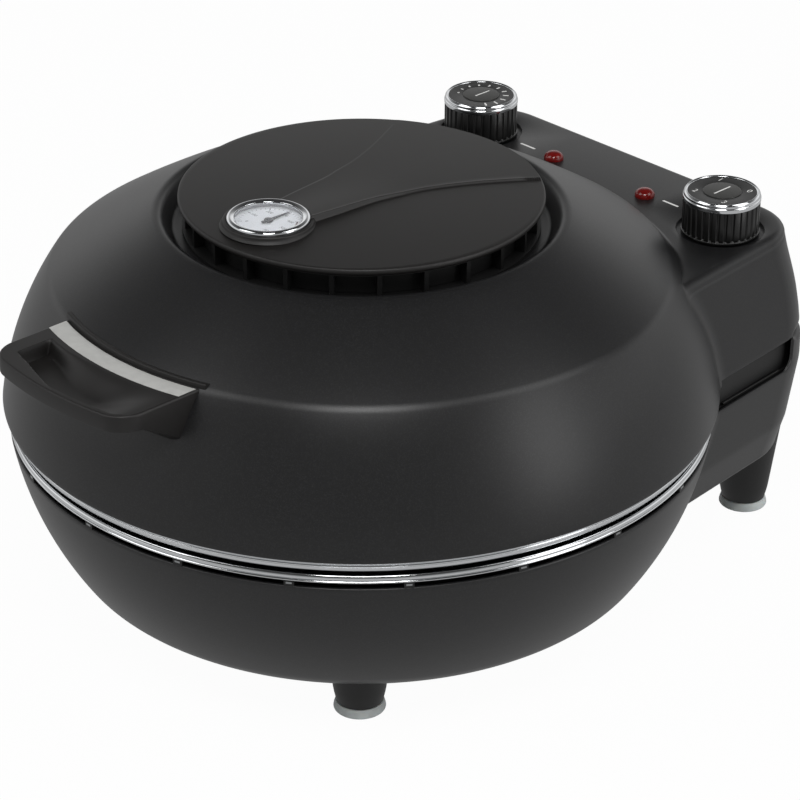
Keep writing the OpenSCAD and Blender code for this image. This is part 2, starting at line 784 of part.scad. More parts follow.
module lid_trim_ring() at_dome() color(chrome) {
    mid = lid_trim_z + lid_trim_h * 0.5;
    rotate_extrude() polygon([
        [lid_trim_r - 2.6, lid_trim_z], [lid_trim_r - 1.7, lid_trim_z], [lid_trim_r - 1.1, lid_trim_z + 0.7],
        [lid_trim_r - 1, mid - 0.3], [lid_trim_r - 1.2, mid], [lid_trim_r - 0.5, mid + 0.4],
        [lid_trim_r, mid + 1], [lid_trim_r, lid_z], [lid_trim_r - 2.6, lid_z],
        [lid_trim_r - 2.6, lid_trim_z + 2.4], [lid_trim_r - 8, lid_trim_z + 2.4],
        [lid_trim_r - 8, lid_trim_z + 1.4], [lid_trim_r - 2.6, lid_trim_z + 1.4]
    ]);
}

liner_low = [lid_trim_r - 20.4, liner_top_z - 44];
liner_high = [lid_trim_r - 36.4, liner_top_z - 18];
liner_path = [
    [lid_trim_r - 3.6, lid_trim_z + 2.4], [lid_trim_r - 12, lid_trim_z + 2.4], liner_low, liner_high,
    [element_r + 8, liner_top_z], [0, liner_top_z]
];

// Outer radius of the slanted wall of the liner at height z, with a little room
function liner_wall_r(z) = liner_low[0] + sheet_t * 1.5 + 0.3
    - (z - liner_low[1]) * (liner_low[0] - liner_high[0]) / (liner_high[1] - liner_low[1]);

module lid_liner() at_dome() color(steel) difference() {
    spun_sheet(liner_path, [sheet_t * 0.8, sheet_t]);
    element_leg_places(up_element_z) rod_y(bush_r + seat_gap, element_r + 8, element_r + 70);
    translate([0, -gauge_y, 0]) rod(4, liner_top_z - 9, liner_top_z + 9);
    translate([sensor[0], 0, sensor[2]]) rod_y(2.5, sensor[1], knob_y);
    for (i = [0:11]) rotate([0, 0, i * 30 + 15]) translate([vent_hole_r - 36, 0, 0])
        rod(5, liner_top_z - 9, liner_top_z + 9);
}

// ---------- vent ----------

rib_low = vent_floor_z + 2;
rib_high = cover_z - cover_t - 1.5;

module vent_ring() at_dome() color(black) {
    ring(vent_hole_r + 2, cover_r - 2, vent_floor_z, rib_low);
    ring(vent_hole_r + 2, cover_r - 3, rib_high, rib_high + 1.5);
    for (i = [0:rib_count - 1]) rotate([0, 0, (i + 0.5) * 360 / rib_count])
        block([cover_r - 9, -rib_w / 2, rib_low], [cover_r - 3.5, rib_w / 2, rib_high]);
}

module vent_cover() at_dome() color(black) difference() {
    union() {
        rotate_extrude() polygon(concat(
            [[0, cover_z - cover_t], [cover_r - 1.2, cover_z - cover_t], [cover_r, cover_z - cover_t + 1],
                [cover_r, cover_z - 0.8], [cover_r - 0.8, cover_z]],
            arc([cover_r - 3, cover_z + 0.15], [0, cover_z + cover_crown], 0.7, 8)
        ));
        translate([0, -gauge_y, 0]) rod(gauge_boss_r, cover_z - 0.5, gauge_z - 2);
    }
    translate([0, -gauge_y, 0]) {
        rod(gauge_r + seat_gap, cover_z - cover_t - 1, gauge_z + 9);
        rod(bezel_r + seat_gap, gauge_z - 4, gauge_z + 9);
    }
}

// ---------- thermometer ----------

module at_gauge() {
    translate([0, dome_y - gauge_y, 0]) children();
}

cup_floor_z = gauge_z - 5;
dial_z = gauge_z - 4.4;
cup_r = gauge_r - 1.2;
glass_low_z = gauge_z - 2;
glass_t = 1;
stem_r = 3;
coil_housing_r = 12;

module thermometer_case() at_gauge() color(steel) difference() {
    union() {
        rod(gauge_r, cup_floor_z - 2, gauge_z - 1);
        rod(coil_housing_r, cup_floor_z - 9, cup_floor_z - 2);
        rod(stem_r, liner_top_z - 16, cup_floor_z - 9);
    }
    rod(cup_r, cup_floor_z, gauge_z);
    rod(1 + run_gap, cup_floor_z - 6, cup_floor_z + 1);
}

module thermometer_dial() at_gauge() color("white") ring(1.5, cup_r - seat_gap, cup_floor_z, dial_z);

module thermometer_bezel() at_gauge() color(chrome) rotate_extrude() polygon([
    [gauge_r + seat_gap, gauge_z - 4], [bezel_r, gauge_z - 4], [bezel_r, gauge_z - 0.9],
    [bezel_r - 0.9, gauge_z], [cup_r - 0.6, gauge_z - 0.4], [cup_r - 0.6, gauge_z - 1],
    [gauge_r + seat_gap, gauge_z - 1]
]);

module thermometer_glass() at_gauge() color("lightblue") rod(cup_r - seat_gap, glass_low_z, glass_low_z + glass_t);

module thermometer_needle() at_gauge() color("black") {
    rod(1, cup_floor_z - 5, dial_z + 1.2);
    rod(2.2, dial_z + 0.4, dial_z + 1.2);
    translate([0, 0, dial_z + 0.5]) linear_extrude(0.5)
        polygon([[-1, -4], [1, -4], [0.9, 0], [0.2, needle_len], [-0.2, needle_len], [-0.9, 0]]);
}

// ---------- handle ----------

// Plan of a tray: a wide arc at the front and two round corners
module tray_plan(reach, half, corner) {
    cx = half - corner;
    cy = sqrt(pow(reach - corner, 2) - cx * cx);
    intersection() {
        circle(r = reach);
        translate([-half, -reach]) square([2 * half, reach]);
        union() {
            translate([-half, -cy]) square([2 * half, cy]);
            polygon([[0, 0], [-cx * 2, -cy * 2], [cx * 2, -cy * 2]]);
            for (side = [-1, 1]) translate([side * cx, -cy]) circle(r = corner);
        }
    }
}

handle_half = handle_w / 2;
insert_in_r = crease_r + 0.8;
tray_in_r = insert_in_r + insert_w + 0.6;
insert_t = 1.2;
handle_boss = 6;

module handle_screw_places() {
    both_sides() translate([30, -crease_r, handle_top_z - 5.2]) children();
}

module handle() at_dome() color(black) difference() {
    union() {
        translate([0, 0, handle_top_z - bar_h]) linear_extrude(bar_h)
            tray_plan(handle_reach, handle_half, handle_corner_r);
        translate([0, 0, handle_top_z - 2]) linear_extrude(3.2)
            tray_plan(insert_in_r, handle_half + 2, 1);
        both_sides() translate([handle_half - cheek_t, 0, 0]) rotate([90, 0, 90])
            linear_extrude(cheek_t) polygon([
                [-crease_r + 20, handle_top_z - 1], [-crease_r - 30, handle_top_z - 1],
                [-crease_r - 26, handle_top_z - bar_h - 0.5], [-crease_r - 4, handle_top_z - cheek_d],
                [-crease_r + 20, handle_top_z - cheek_d - 15]
            ]);
    }
    difference() {
        translate([0, 0, handle_top_z - tray_d]) linear_extrude(bar_h)
            tray_plan(handle_reach - tray_rim, handle_half - tray_rim, 6);
        rod(tray_in_r, 0, panel_z * 2);
    }
    translate([0, 0, handle_top_z - insert_t]) linear_extrude(bar_h) difference() {
        tray_plan(insert_in_r + insert_w, handle_half - 1, 0.5);
        circle(r = insert_in_r);
    }
    dome_body();
    rod(crease_r - 2.5, 0, panel_z * 2);
    handle_screw_places() rod_y(screw_r + seat_gap, -8.5, 20);
}

module handle_insert() at_dome() color(pale) translate([0, 0, handle_top_z - insert_t])
    linear_extrude(insert_t) difference() {
        tray_plan(insert_in_r + insert_w - seat_gap, handle_half - 1 - seat_gap, 0.5);
        circle(r = insert_in_r + seat_gap);
    }

module handle_screws() at_dome() color(steel) handle_screw_places() {
    rod_y(screw_r, -8, handle_boss);
    rod_y(screw_r * 2, handle_boss, handle_boss + 2);
}

// ---------- controls ----------

module pilot_lens(side) translate([side * lamp_x, dome_y + knob_y, 0]) {
    rod(lamp_r - 0.7, panel_z - 8, panel_z);
    rod(lamp_r, panel_z, panel_z + 0.8);
    translate([0, 0, panel_z + 0.8]) intersection() {
        translate([0, 0, -2.5]) sphere(r = sqrt(lamp_r * lamp_r + 6.25));
        rod(lamp_r, 0, lamp_r);
    }
}

module pilot_lens_left() color("#8c1c18") pilot_lens(-1);
module pilot_lens_right() color("#8c1c18") pilot_lens(1);

module lamp_holders() at_dome() color(ceramic) both_sides() translate([lamp_x, knob_y, 0])
    rod(lamp_r + 1, panel_z - 26, panel_z - 8);

module control_bracket() at_dome() color(steel) difference() {
    union() {
        block(
            [-knob_x - 21.7, knob_y - 8.5, bracket_z],
            [knob_x + 21.7, knob_y + 18, bracket_z + bracket_t]
        );
        both_sides() for (x = [8, knob_x - 28.3]) translate([x, knob_y + 8, 0])
            rod(3, bracket_z, panel_z - panel_t);
    }
    both_sides() translate([knob_x, knob_y, 0]) rod(spindle_r + 2, bracket_z - 1, bracket_z + 9);
    both_sides() translate([lamp_x, knob_y, 0]) rod(lamp_r + 1 + seat_gap, bracket_z - 1, bracket_z + 9);
}

// The bulb of the thermostat lies just above the bend of the liner's wall
sensor = [6.3 - knob_x, knob_y - 47, liner_low[1] + 3];
bulb_l = 55;
bulb_r = 3;
thermostat_h = 26;

module thermostat() at_dome() color(steel) difference() {
    translate([-knob_x, knob_y, 0])
        block([-20, -14, bracket_z - thermostat_h], [20, 14, bracket_z]);
    translate([-knob_x, knob_y, 0]) rod(spindle_r + run_gap, bracket_z - 12, bracket_z + 1);
}

// A thin tube from the thermostat through the liner to the bulb in the chamber
module sensor_capillary() at_dome() color("#b98a5a") translate([sensor[0], 0, sensor[2]]) {
    rod_y(1, sensor[1], knob_y - 14);
    translate([0, sensor[1], 0]) rod_x(bulb_r, -4, bulb_l - 4);
}

module selector_switch() at_dome() color(ceramic) translate([knob_x, knob_y, 0]) difference() {
    rod(18, bracket_z - 30, bracket_z);
    rod(spindle_r + run_gap, bracket_z - 12, bracket_z + 1);
}

module thermal_cutout() at_dome() color(black) translate([0, element_r - 40, 0]) {
    block([-16, -5, liner_top_z + sheet_t], [16, 5, liner_top_z + sheet_t + 1]);
    rod(8, liner_top_z + sheet_t + 1, liner_top_z + sheet_t + 9);
}

module lid_box_floor() at_dome() color(black) difference() {
    translate([0, 0, slot_top_z + 0.5]) linear_extrude(floor_t)
        box_plan(shell_t + 3, shell_t + 3);
    rod(lid_r + 0.6, 0, panel_z);
    both_sides() leaf_boss_room();
}

// ---------- knobs ----------

knob_low_z = well_floor_z + knob_gap;
knob_body_top_z = knob_top_z - 5;
face_z = knob_top_z - 0.8;

// Each rib is a narrow trapezium: [share of the pitch, depth below the rib]
rib_form = [[0, 0], [0.45, 0], [0.55, 0.9], [0.9, 0.9]];
rib_outline = [
    for (i = [0:knob_ribs - 1]) for (corner = rib_form)
        let (turn = (i + corner[0]) * 360 / knob_ribs, r = knob_r - 0.3 - corner[1])
        r * [cos(turn), sin(turn)]
];

module at_knob(side) {
    translate([side * knob_x, dome_y + knob_y, 0]) children();
}

module knob_body(side) at_knob(side) difference() {
    union() {
        translate([0, 0, knob_low_z + 1.5]) linear_extrude(knob_body_top_z - knob_low_z - 1.5)
            polygon(rib_outline);
        rod(knob_r, knob_low_z, knob_low_z + 1.5);
        rod(knob_face_r - 1, knob_body_top_z, face_z - 1.8);
    }
    rod(spindle_r + seat_gap, knob_low_z - 1, knob_body_top_z - 4);
}

module knob_ring(side) at_knob(side) rotate_extrude() polygon([
    [knob_face_r - 1 + seat_gap, knob_body_top_z], [knob_r - 0.2, knob_body_top_z],
    [knob_r - 0.2, knob_top_z - 2.6], [knob_r - 0.9, knob_top_z - 0.9],
    [knob_face_r + 0.7, knob_top_z], [knob_face_r, knob_top_z - 0.5], [knob_face_r, face_z - 1.8],
    [knob_face_r - 1 + seat_gap, face_z - 1.8]
]);

// The face carries a pointer cap in its middle
module knob_face(side) at_knob(side) {
    rod(knob_face_r - seat_gap, face_z - 1.8, face_z);
    rod(knob_cap_r, face_z, face_z + 0.5);
}

module knob_spindle(side) at_knob(side) rod(spindle_r, bracket_z - 11, knob_body_top_z - 4.5);

module left_knob_body() color(black) knob_body(-1);
module left_knob_ring() color(chrome) knob_ring(-1);
module left_knob_face() color(black) knob_face(-1);
module left_knob_spindle() color(steel) knob_spindle(-1);
module right_knob_body() color(black) knob_body(1);
module right_knob_ring() color(chrome) knob_ring(1);
module right_knob_face() color(black) knob_face(1);
module right_knob_spindle() color(steel) knob_spindle(1);

base_shell();
base_trim_ring();
rim_clips();
base_pan();
baking_stone();
lower_element();
lower_element_clips();
lower_bushes();
rear_deck();
wiring_cover();
cover_screws();
terminal_block();
cable_gland();
front_leg_left();
front_leg_right();
rear_leg_left();
rear_leg_right();
front_pad_left();
front_pad_right();
rear_pad_left();
rear_pad_right();
leg_screws();
base_hinge_brackets();
hinge_pins();
lid_shell();
lid_trim_ring();
lid_liner();
upper_element();
upper_element_clips();
upper_bushes();
vent_ring();
vent_cover();
thermometer_case();
thermometer_dial();
thermometer_bezel();
thermometer_glass();
thermometer_needle();
handle();
handle_insert();
handle_screws();
pilot_lens_left();
pilot_lens_right();
lamp_holders();
thermostat();
sensor_capillary();
selector_switch();
control_bracket();
thermal_cutout();
lid_box_floor();
lid_hinge_brackets();
left_knob_body();
left_knob_ring();
left_knob_face();
left_knob_spindle();
right_knob_body();
right_knob_ring();
right_knob_face();
right_knob_spindle();
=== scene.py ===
"""A round countertop pizza oven: charcoal enamelled shells, black mouldings and chrome trim."""

import json
from itertools import product
from math import atan, atan2, cos, degrees, exp, hypot, pi, radians, sin, sqrt

import bmesh
import bpy
from mathutils import Matrix, Vector
from mathutils.geometry import delaunay_2d_cdt

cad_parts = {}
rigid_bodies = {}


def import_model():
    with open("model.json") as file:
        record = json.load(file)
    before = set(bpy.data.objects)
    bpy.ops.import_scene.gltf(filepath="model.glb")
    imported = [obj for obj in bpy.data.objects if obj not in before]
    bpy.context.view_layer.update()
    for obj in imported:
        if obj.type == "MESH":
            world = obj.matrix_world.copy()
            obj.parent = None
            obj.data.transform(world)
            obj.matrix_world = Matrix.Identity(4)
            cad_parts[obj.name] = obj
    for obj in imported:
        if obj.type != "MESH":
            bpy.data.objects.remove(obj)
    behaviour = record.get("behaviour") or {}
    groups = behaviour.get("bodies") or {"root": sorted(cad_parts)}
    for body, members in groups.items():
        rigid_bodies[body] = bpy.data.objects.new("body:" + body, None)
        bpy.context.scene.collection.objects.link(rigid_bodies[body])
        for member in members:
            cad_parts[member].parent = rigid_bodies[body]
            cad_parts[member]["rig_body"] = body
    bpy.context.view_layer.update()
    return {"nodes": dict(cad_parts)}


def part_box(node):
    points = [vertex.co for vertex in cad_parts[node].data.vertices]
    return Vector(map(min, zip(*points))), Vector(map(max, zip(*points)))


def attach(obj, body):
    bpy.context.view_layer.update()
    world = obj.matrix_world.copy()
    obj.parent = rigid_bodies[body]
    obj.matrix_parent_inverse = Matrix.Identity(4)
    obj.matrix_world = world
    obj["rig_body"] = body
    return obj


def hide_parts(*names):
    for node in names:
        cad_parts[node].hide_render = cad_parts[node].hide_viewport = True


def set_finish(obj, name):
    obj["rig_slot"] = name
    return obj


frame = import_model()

NODES = frame["nodes"]


def middle(node):
    low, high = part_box(node)
    return (low + high) / 2 * 1000


# ---- sizes, in millimetres

# Heights are above the table, and radii and y are taken from the axis of the dome.
DOME_Y = middle("base_trim_ring").y
LID_R, LID_Z = 187.8, 121.1
CREASE_R, CREASE_Z = 161.0, 190.8
BAND_BULGE = 4.3
VENT_R, VENT_Z, VENT_FLOOR_Z = 103.5, 223.6, 212.0
BOWL_R, BOWL_Z = 184.6, 105.4
TURN_R, TURN_Z, STAND_Z = 155.7, 34.0, 28.0
BOWL_BULGE = 4.2
WALL_T = 0.9
TRIM_R = 184.0

# The rear box
BOX_X, BOX_Y, BOX_TAPER = 135.0, 130.0, 0.1
BOX_REAR, BOX_CORNER = 230.0, 38.0
PANEL_Z, PANEL_EDGE = 183.8, 4.6
SIDE_DRAFT, REAR_DRAFT = 10.5, 12.5
SPLIT_TOP_Z, SPLIT_LOW_Z = 117.5, 116.5
SLOT_TOP_Z, SLOT_LOW_Z, SLOT_END = 124.0, 107.0, 199.5
SLOT_R = (SLOT_TOP_Z - SLOT_LOW_Z) / 2
SLOT_MID_Z = (SLOT_TOP_Z + SLOT_LOW_Z) / 2
FLOOR_Z, FLOOR_EDGE, FLOOR_DRAFT = 52.0, 3.0, 8.5

# Controls
KNOB_X, KNOB_Y = 90.3, 177.0
KNOB_R, KNOB_FACE_R, KNOB_CAP_R, KNOB_TOP_Z = 21.0, 18.3, 10.3, 206.6
KNOB_FLUTES, FLUTE_D, KNOB_TEXT_R = 32, 0.85, 14.4
WELL_R, WELL_D, WELL_STEPS = 24.0, 1.5, 96
LAMP_X, LAMP_Y, LAMP_R, LAMP_H = 34.3, 178.8, 5.5, 3.7

# Vent cover and thermometer
COVER_R, COVER_Z, COVER_T, COVER_CROWN = 93.9, 230.7, 3.2, 3.0
OPENING_R = 18.6
GAUGE_Y, GAUGE_Z, BEZEL_R, BOSS_R = 63.5, 237.2, 21.1, 23.0
DIAL_Z, DIAL_R, DIAL_ARC_R, DIAL_TEXT_R = GAUGE_Z - 4.38, 15.6, 14.4, 10.9

# Handle
HANDLE_Z, HANDLE_HALF, HANDLE_REACH, HANDLE_CORNER = 191.0, 50.5, 206.6, 12.0
HANDLE_NEAR, HANDLE_EDGE, BAR_H, TRAY_D = 160.0, 1.3, 9.0, 7.4
CHEEK_R, CHEEK_FALL = 194.5, 0.64
STRIP_NEAR, STRIP_FAR, STRIP_HALF, FLANGE_HALF = 161.9, 172.4, 49.6, 52.9


def at(x, y, z):
    """A point in millimetres about the axis of the dome, as metres in the frame."""
    return Vector((x, y + DOME_Y, z)) * 0.001


def polar(turn, r, z):
    return at(r * cos(turn), r * sin(turn), z)


def smooth_step(t):
    t = min(max(t, 0.0), 1.0)
    return t * t * (3 - 2 * t)


def soft_max(a, b, blend):
    """The larger of a and b, with the corner between them rounded over blend."""
    if blend <= 1e-6:
        return max(a, b)
    h = max(blend - abs(a - b), 0.0) / blend
    return max(a, b) + h * h * blend / 4


def spread(a, b, steps):
    """steps + 1 values from a to b."""
    return [a + (b - a) * i / steps for i in range(steps + 1)]


# ---- meshes


def placed(name, mesh, body, slot):
    """An object of the scene, on its body and with its slot."""
    obj = bpy.data.objects.new(name, mesh)
    bpy.context.scene.collection.objects.link(obj)
    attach(obj, body)
    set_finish(obj, slot)
    return obj


def make_mesh(name, points, faces, material, body, slot, sharp=35.0, replaced=()):
    """A smooth-shaded piece that keeps edges sharper than the given angle, on its body."""
    mesh = bpy.data.meshes.new(name)
    bm = bmesh.new()
    made = [bm.verts.new(p) for p in points]
    for face in faces:
        try:
            bm.faces.new([made[i] for i in face])
        except ValueError:
            pass
    bmesh.ops.remove_doubles(bm, verts=bm.verts, dist=2e-6)
    bmesh.ops.dissolve_degenerate(bm, edges=bm.edges, dist=1e-6)
    bmesh.ops.recalc_face_normals(bm, faces=bm.faces)
    centre = sum((v.co for v in bm.verts), Vector()) / max(len(bm.verts), 1)
    outward = sum(f.calc_area() * f.normal.dot(f.calc_center_median() - centre) for f in bm.faces)
    if outward < 0:
        bmesh.ops.reverse_faces(bm, faces=bm.faces)
    bm.to_mesh(mesh)
    bm.free()
    mesh.polygons.foreach_set("use_smooth", [True] * len(mesh.polygons))
    mesh.set_sharp_from_angle(angle=radians(sharp))
    mesh.materials.append(material)
    obj = placed(name, mesh, body, slot)
    if replaced:
        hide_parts(*replaced)
    return obj


def grid_faces(rows, columns, closed):
    """Quads over a grid of points that is stored row after row."""
    faces = []
    for i in range(rows - 1):
        for j in range(columns if closed else columns - 1):
            k = (j + 1) % columns
            faces.append(
                (i * columns + j, i * columns + k, (i + 1) * columns + k, (i + 1) * columns + j)
            )
    return faces


def rounded(points, radius, steps=5):
    """An open outline with each inner corner turned into an arc of up to that radius."""
    out = [points[0]]
    for a, b, c in zip(points, points[1:], points[2:]):
        pa, pb, pc = Vector(a[:2]), Vector(b[:2]), Vector(c[:2])
        r = b[2] if len(b) > 2 else radius
        u, v = (pa - pb), (pc - pb)
        reach = min(r, u.length * 0.49, v.length * 0.49)
        if reach < 1e-4:
            out.append(tuple(pb))
            continue
        start = pb + u.normalized() * reach
        end = pb + v.normalized() * reach
        for t in spread(0, 1, steps):
            out.append(tuple((1 - t) ** 2 * start + 2 * t * (1 - t) * pb + t * t * end))
    out.append(points[-1][:2])
    return out


def circle(centre, r, z, steps):
    """Points round an upright line at centre = (x, y)."""
    turns = [2 * pi * j / steps for j in range(steps)]
    return [at(centre[0] + r * cos(a), centre[1] + r * sin(a), z) for a in turns]


def lathe(name, outline, centre, material, body, slot, steps=160, sharp=35.0, replaced=()):
    """An outline of (radius, height) turned about an upright line at centre = (x, y)."""
    points = [p for r, z in outline for p in circle(centre, r, z, steps)]
    faces = grid_faces(len(outline), steps, True)
    return make_mesh(name, points, faces, material, body, slot, sharp, replaced)


def swept(name, profile, line, spot, *rest):
    """A profile of (radius, height) carried along a line, with every point placed by spot."""
    points = [spot(step, r, z) for r, z in profile for step in line]
    return make_mesh(name, points, grid_faces(len(profile), len(line), False), *rest)


def bulged(p, q, bulge, steps):
    """Points of a shallow curve from p to q that stands out by bulge to the right."""
    p, q = Vector(p), Vector(q)
    d = q - p
    out = Vector((d.y, -d.x)).normalized()
    return [tuple(p + d * t + out * 4 * bulge * t * (1 - t)) for t in spread(0, 1, steps)]


def look_up(table, value, key, result):
    """Linear look-up in a list of points that is sorted by its key column."""
    rows = sorted(table, key=lambda p: p[key])
    for a, b in zip(rows, rows[1:]):
        if value <= b[key]:
            break
    t = (value - a[key]) / (b[key] - a[key])
    return a[result] + (b[result] - a[result]) * t


BAND = bulged((LID_R, LID_Z), (CREASE_R, CREASE_Z), BAND_BULGE, 40)
CONE = bulged((CREASE_R, CREASE_Z), (VENT_R, VENT_Z), 0.8, 12)
BOWL = bulged((TURN_R, TURN_Z), (BOWL_R, BOWL_Z), BOWL_BULGE, 40)


def dome_r(z):
    return look_up(BAND, z, 1, 0)


def bowl_r(z):
    return look_up(BOWL, z, 1, 0)


# ---- plan of the rear box


def box_reach(turn, side_in, rear_in, softer=0.0):
    """Distance from the axis of the dome to the wall of the box, with softer rear corners."""
    c, s = abs(cos(turn)), sin(turn)
    if s <= 0.05:
        return 0.0
    reach = (BOX_X + BOX_TAPER * BOX_Y - side_in) / (c + BOX_TAPER * s)
    reach = min(reach, (BOX_REAR - rear_in) / s)
    r = BOX_CORNER - rear_in + softer
    centre_y = BOX_REAR - rear_in - r
    lean = atan(BOX_TAPER)
    side_x = BOX_X - side_in - BOX_TAPER * (centre_y - BOX_Y)
    centre_x = side_x - r * hypot(1, BOX_TAPER)
    if reach * c > centre_x and reach * s > centre_y + r * sin(lean):
        along = centre_x * c + centre_y * s
        aside = centre_x * s - centre_y * c
        reach = along + sqrt(max(r * r - aside * aside, 0))
    return reach


def upper_inset(z, extra=0.0):
    t = max(z - SPLIT_TOP_Z, 0) / (PANEL_Z - PANEL_EDGE - SPLIT_TOP_Z)
    softer = 7 * smooth_step((z - 145) / 35) + 3 * (1 - smooth_step((z - SPLIT_TOP_Z) / 20))
    return SIDE_DRAFT * t + extra, REAR_DRAFT * t + extra, softer


def lower_inset(z, extra=0.0):
    low = max(72 - z, 0) / 20
    high = min(max(SLOT_LOW_Z - z, 0) / 35, 1)
    softer = 3 + 10 * min(max(SLOT_LOW_Z - z, 0) / 50, 1)
    return FLOOR_DRAFT * 0.6 * low + FLOOR_DRAFT * 0.4 * high + extra, extra, softer


def slot_edge(turn, reach, side):
    """Height of the lid's edge (side 1) or the base's (side -1) where the wall is at that reach.

    The lid's edge is level. The base closes the end of the slot and rises round the corner, and
    both dip behind the box to the height of the hinge.
    """
    y = reach * sin(turn)
    at_corner = smooth_step((abs(reach * cos(turn)) - 92) / 8)
    if side > 0:
        return SPLIT_TOP_Z + (SLOT_TOP_Z - SPLIT_TOP_Z) * at_corner
    past = y - (SLOT_END - SLOT_R)
    if past <= 0:
        return SLOT_LOW_Z
    if past < SLOT_R:
        return SLOT_MID_Z - sqrt(SLOT_R**2 - past**2)
    return SPLIT_LOW_Z + (SLOT_TOP_Z - 0.8 - SPLIT_LOW_Z) * at_corner


def turns_about():
    """Plan directions of the columns of the shells, closer together where the slot ends."""
    out = [radians(a) for a in spread(-218, 38, 256)]
    slot = degrees(atan2(SLOT_END - 2, 128))
    marks = [38, 43.4, 45.6, slot - 3, slot + 1.5, 90]
    steps = [10, 22, 26, 90, 70, 60]
    right = []
    for a, b, n in zip(marks, marks[1:], steps[1:]):
        right += spread(a, b, n)[1:]
    left = [180 - a for a in right[:-1]][::-1]
    return out + [radians(a) for a in right + left]


TURNS = turns_about()


# ---- materials


def linear(code):
    """An sRGB hex colour as linear values."""
    values = [int(code[i : i + 2], 16) / 255 for i in (1, 3, 5)]
    return [v / 12.92 if v <= 0.04045 else ((v + 0.055) / 1.055) ** 2.4 for v in values] + [1.0]


def grey(level):
    return [level] * 3 + [1.0]


def add_node(material, kind, settings=None, links=None):
    """A node with its settings, by attribute or socket, and links {socket: (node, output)}."""
    node = material.node_tree.nodes.new("ShaderNode" + kind)
    for key, value in (settings or {}).items():
        if hasattr(node, str(key)):
            setattr(node, key, value)
        else:
            node.inputs[key].default_value = value
    for key, (source, output) in (links or {}).items():
        material.node_tree.links.new(source.outputs[output], node.inputs[key])
    return node


def new_material(name, colour, roughness, metallic=0.0, **sockets):
    material = bpy.data.materials.new(name)
    material.use_nodes = True
    shader = material.node_tree.nodes["Principled BSDF"]
    shader.inputs["Base Color"].default_value = linear(colour)
    shader.inputs["Roughness"].default_value = roughness
    shader.inputs["Metallic"].default_value = metallic
    for socket, value in sockets.items():
        shader.inputs[socket.replace("_", " ")].default_value = value
    return material, shader


def two_stops(material, source, output, low, high, start=0.0, end=1.0):
    """A ramp from low to high while the source's output goes from start to end."""
    ramp = add_node(material, "ValToRGB", {}, {"Fac": (source, output)})
    for stop, spot, colour in zip(ramp.color_ramp.elements, (start, end), (low, high)):
        stop.position, stop.color = spot, colour
    return ramp


def vary(material, shader, socket, *ramp):
    """Lets a socket of the shader follow a ramp of two stops."""
    stops = two_stops(material, *ramp)
    material.node_tree.links.new(stops.outputs["Color"], shader.inputs[socket])


def noise_of(material, source, output, scale, detail):
    settings = {"Scale": scale, "Detail": detail}
    return add_node(material, "TexNoise", settings, {"Vector": (source, output)})


def relief(material, shader, noise, strength, height_mm):
    settings = {"Strength": strength, "Distance": height_mm * 0.001}
    bump = add_node(material, "Bump", settings, {"Height": (noise, "Fac")})
    material.node_tree.links.new(bump.outputs["Normal"], shader.inputs["Normal"])


def grain(material, shader, size_mm, height_mm, strength, detail=2.0):
    """A fine surface relief with grains of that size."""
    place = add_node(material, "TexCoord")
    noise = noise_of(material, place, "Object", 1000 / size_mm, detail)
    relief(material, shader, noise, strength, height_mm)
    return place


def mottle(material, shader, place, size_mm, low, high, socket="Base Color"):
    """Slow variation between two values, over patches of that size."""
    noise = noise_of(material, place, "Object", 1000 / size_mm, 3.0)
    vary(material, shader, socket, noise, "Fac", low, high, 0.35, 0.65)


def streaks(material, shader, scale, detail, smooth, rough):
    """Long lines in one direction that vary the roughness."""
    place = add_node(material, "TexCoord")
    stretch = add_node(material, "Mapping", {"Scale": scale}, {"Vector": (place, "Object")})
    noise = noise_of(material, stretch, "Vector", 1.0, detail)
    vary(material, shader, "Roughness", noise, "Fac", grey(smooth), grey(rough))
    return noise


def finish(name, colour, roughness, grains, patches=None, **sockets):
    """A surface with grains (size and height in mm, strength) and patches (mm, dark, pale).

    Where no pale colour is given, it's the colour of the surface itself.
    """
    material, shader = new_material(name, colour, roughness, **sockets)
    place = grain(material, shader, *grains)
    if patches:
        size_mm, dark, pale = (*patches, colour)[:3]
        mottle(material, shader, place, size_mm, linear(dark), linear(pale))
    return material


def stoved_enamel():
    """Sprayed and stoved enamel with fine metal flake: a satin charcoal with a faint glitter.

    The flakes are drawn at about twice their real size, so that they show.
    """
    material, shader = new_material("stoved_flake_enamel", "#131314", 0.37)
    place = grain(material, shader, 0.6, 0.03, 0.3)
    flakes = add_node(material, "TexVoronoi", {"Scale": 1000 / 0.45}, {"Vector": (place, "Object")})
    bright = add_node(material, "SeparateColor", {}, {"Color": (flakes, "Color")})
    dull, shiny = linear("#121213"), linear("#202021")
    vary(material, shader, "Base Color", bright, "Red", dull, shiny, 0.6)
    return material


def chrome_plate():
    """Polished chrome plate: a bright mirror with faint lines from polishing."""
    material, shader = new_material("polished_chrome_plate", "#dcdee0", 0.1, 1.0)
    streaks(material, shader, (60, 60, 500), 2.0, 0.07, 0.12)
    return material


def rolled_sheet():
    """Rolled aluminised sheet steel: a dull grey metal with lengthwise rolling lines."""
    material, shader = new_material("rolled_sheet_steel", "#9a9b9c", 0.38, 1.0)
    noise = streaks(material, shader, (1500, 60, 60), 3.0, 0.3, 0.48)
    relief(material, shader, noise, 0.15, 0.03)
    return material


def window_glass():
    """Flat float glass: clear, with sharp reflections and faint handling marks."""
    material, shader = new_material(
        "flat_float_glass", "#f5f7fb", 0.02, Transmission_Weight=1.0, IOR=1.5
    )
    place = add_node(material, "TexCoord")
    noise = noise_of(material, place, "Object", 120.0, 2.0)
    vary(material, shader, "Roughness", noise, "Fac", grey(0.01), grey(0.04))
    return material


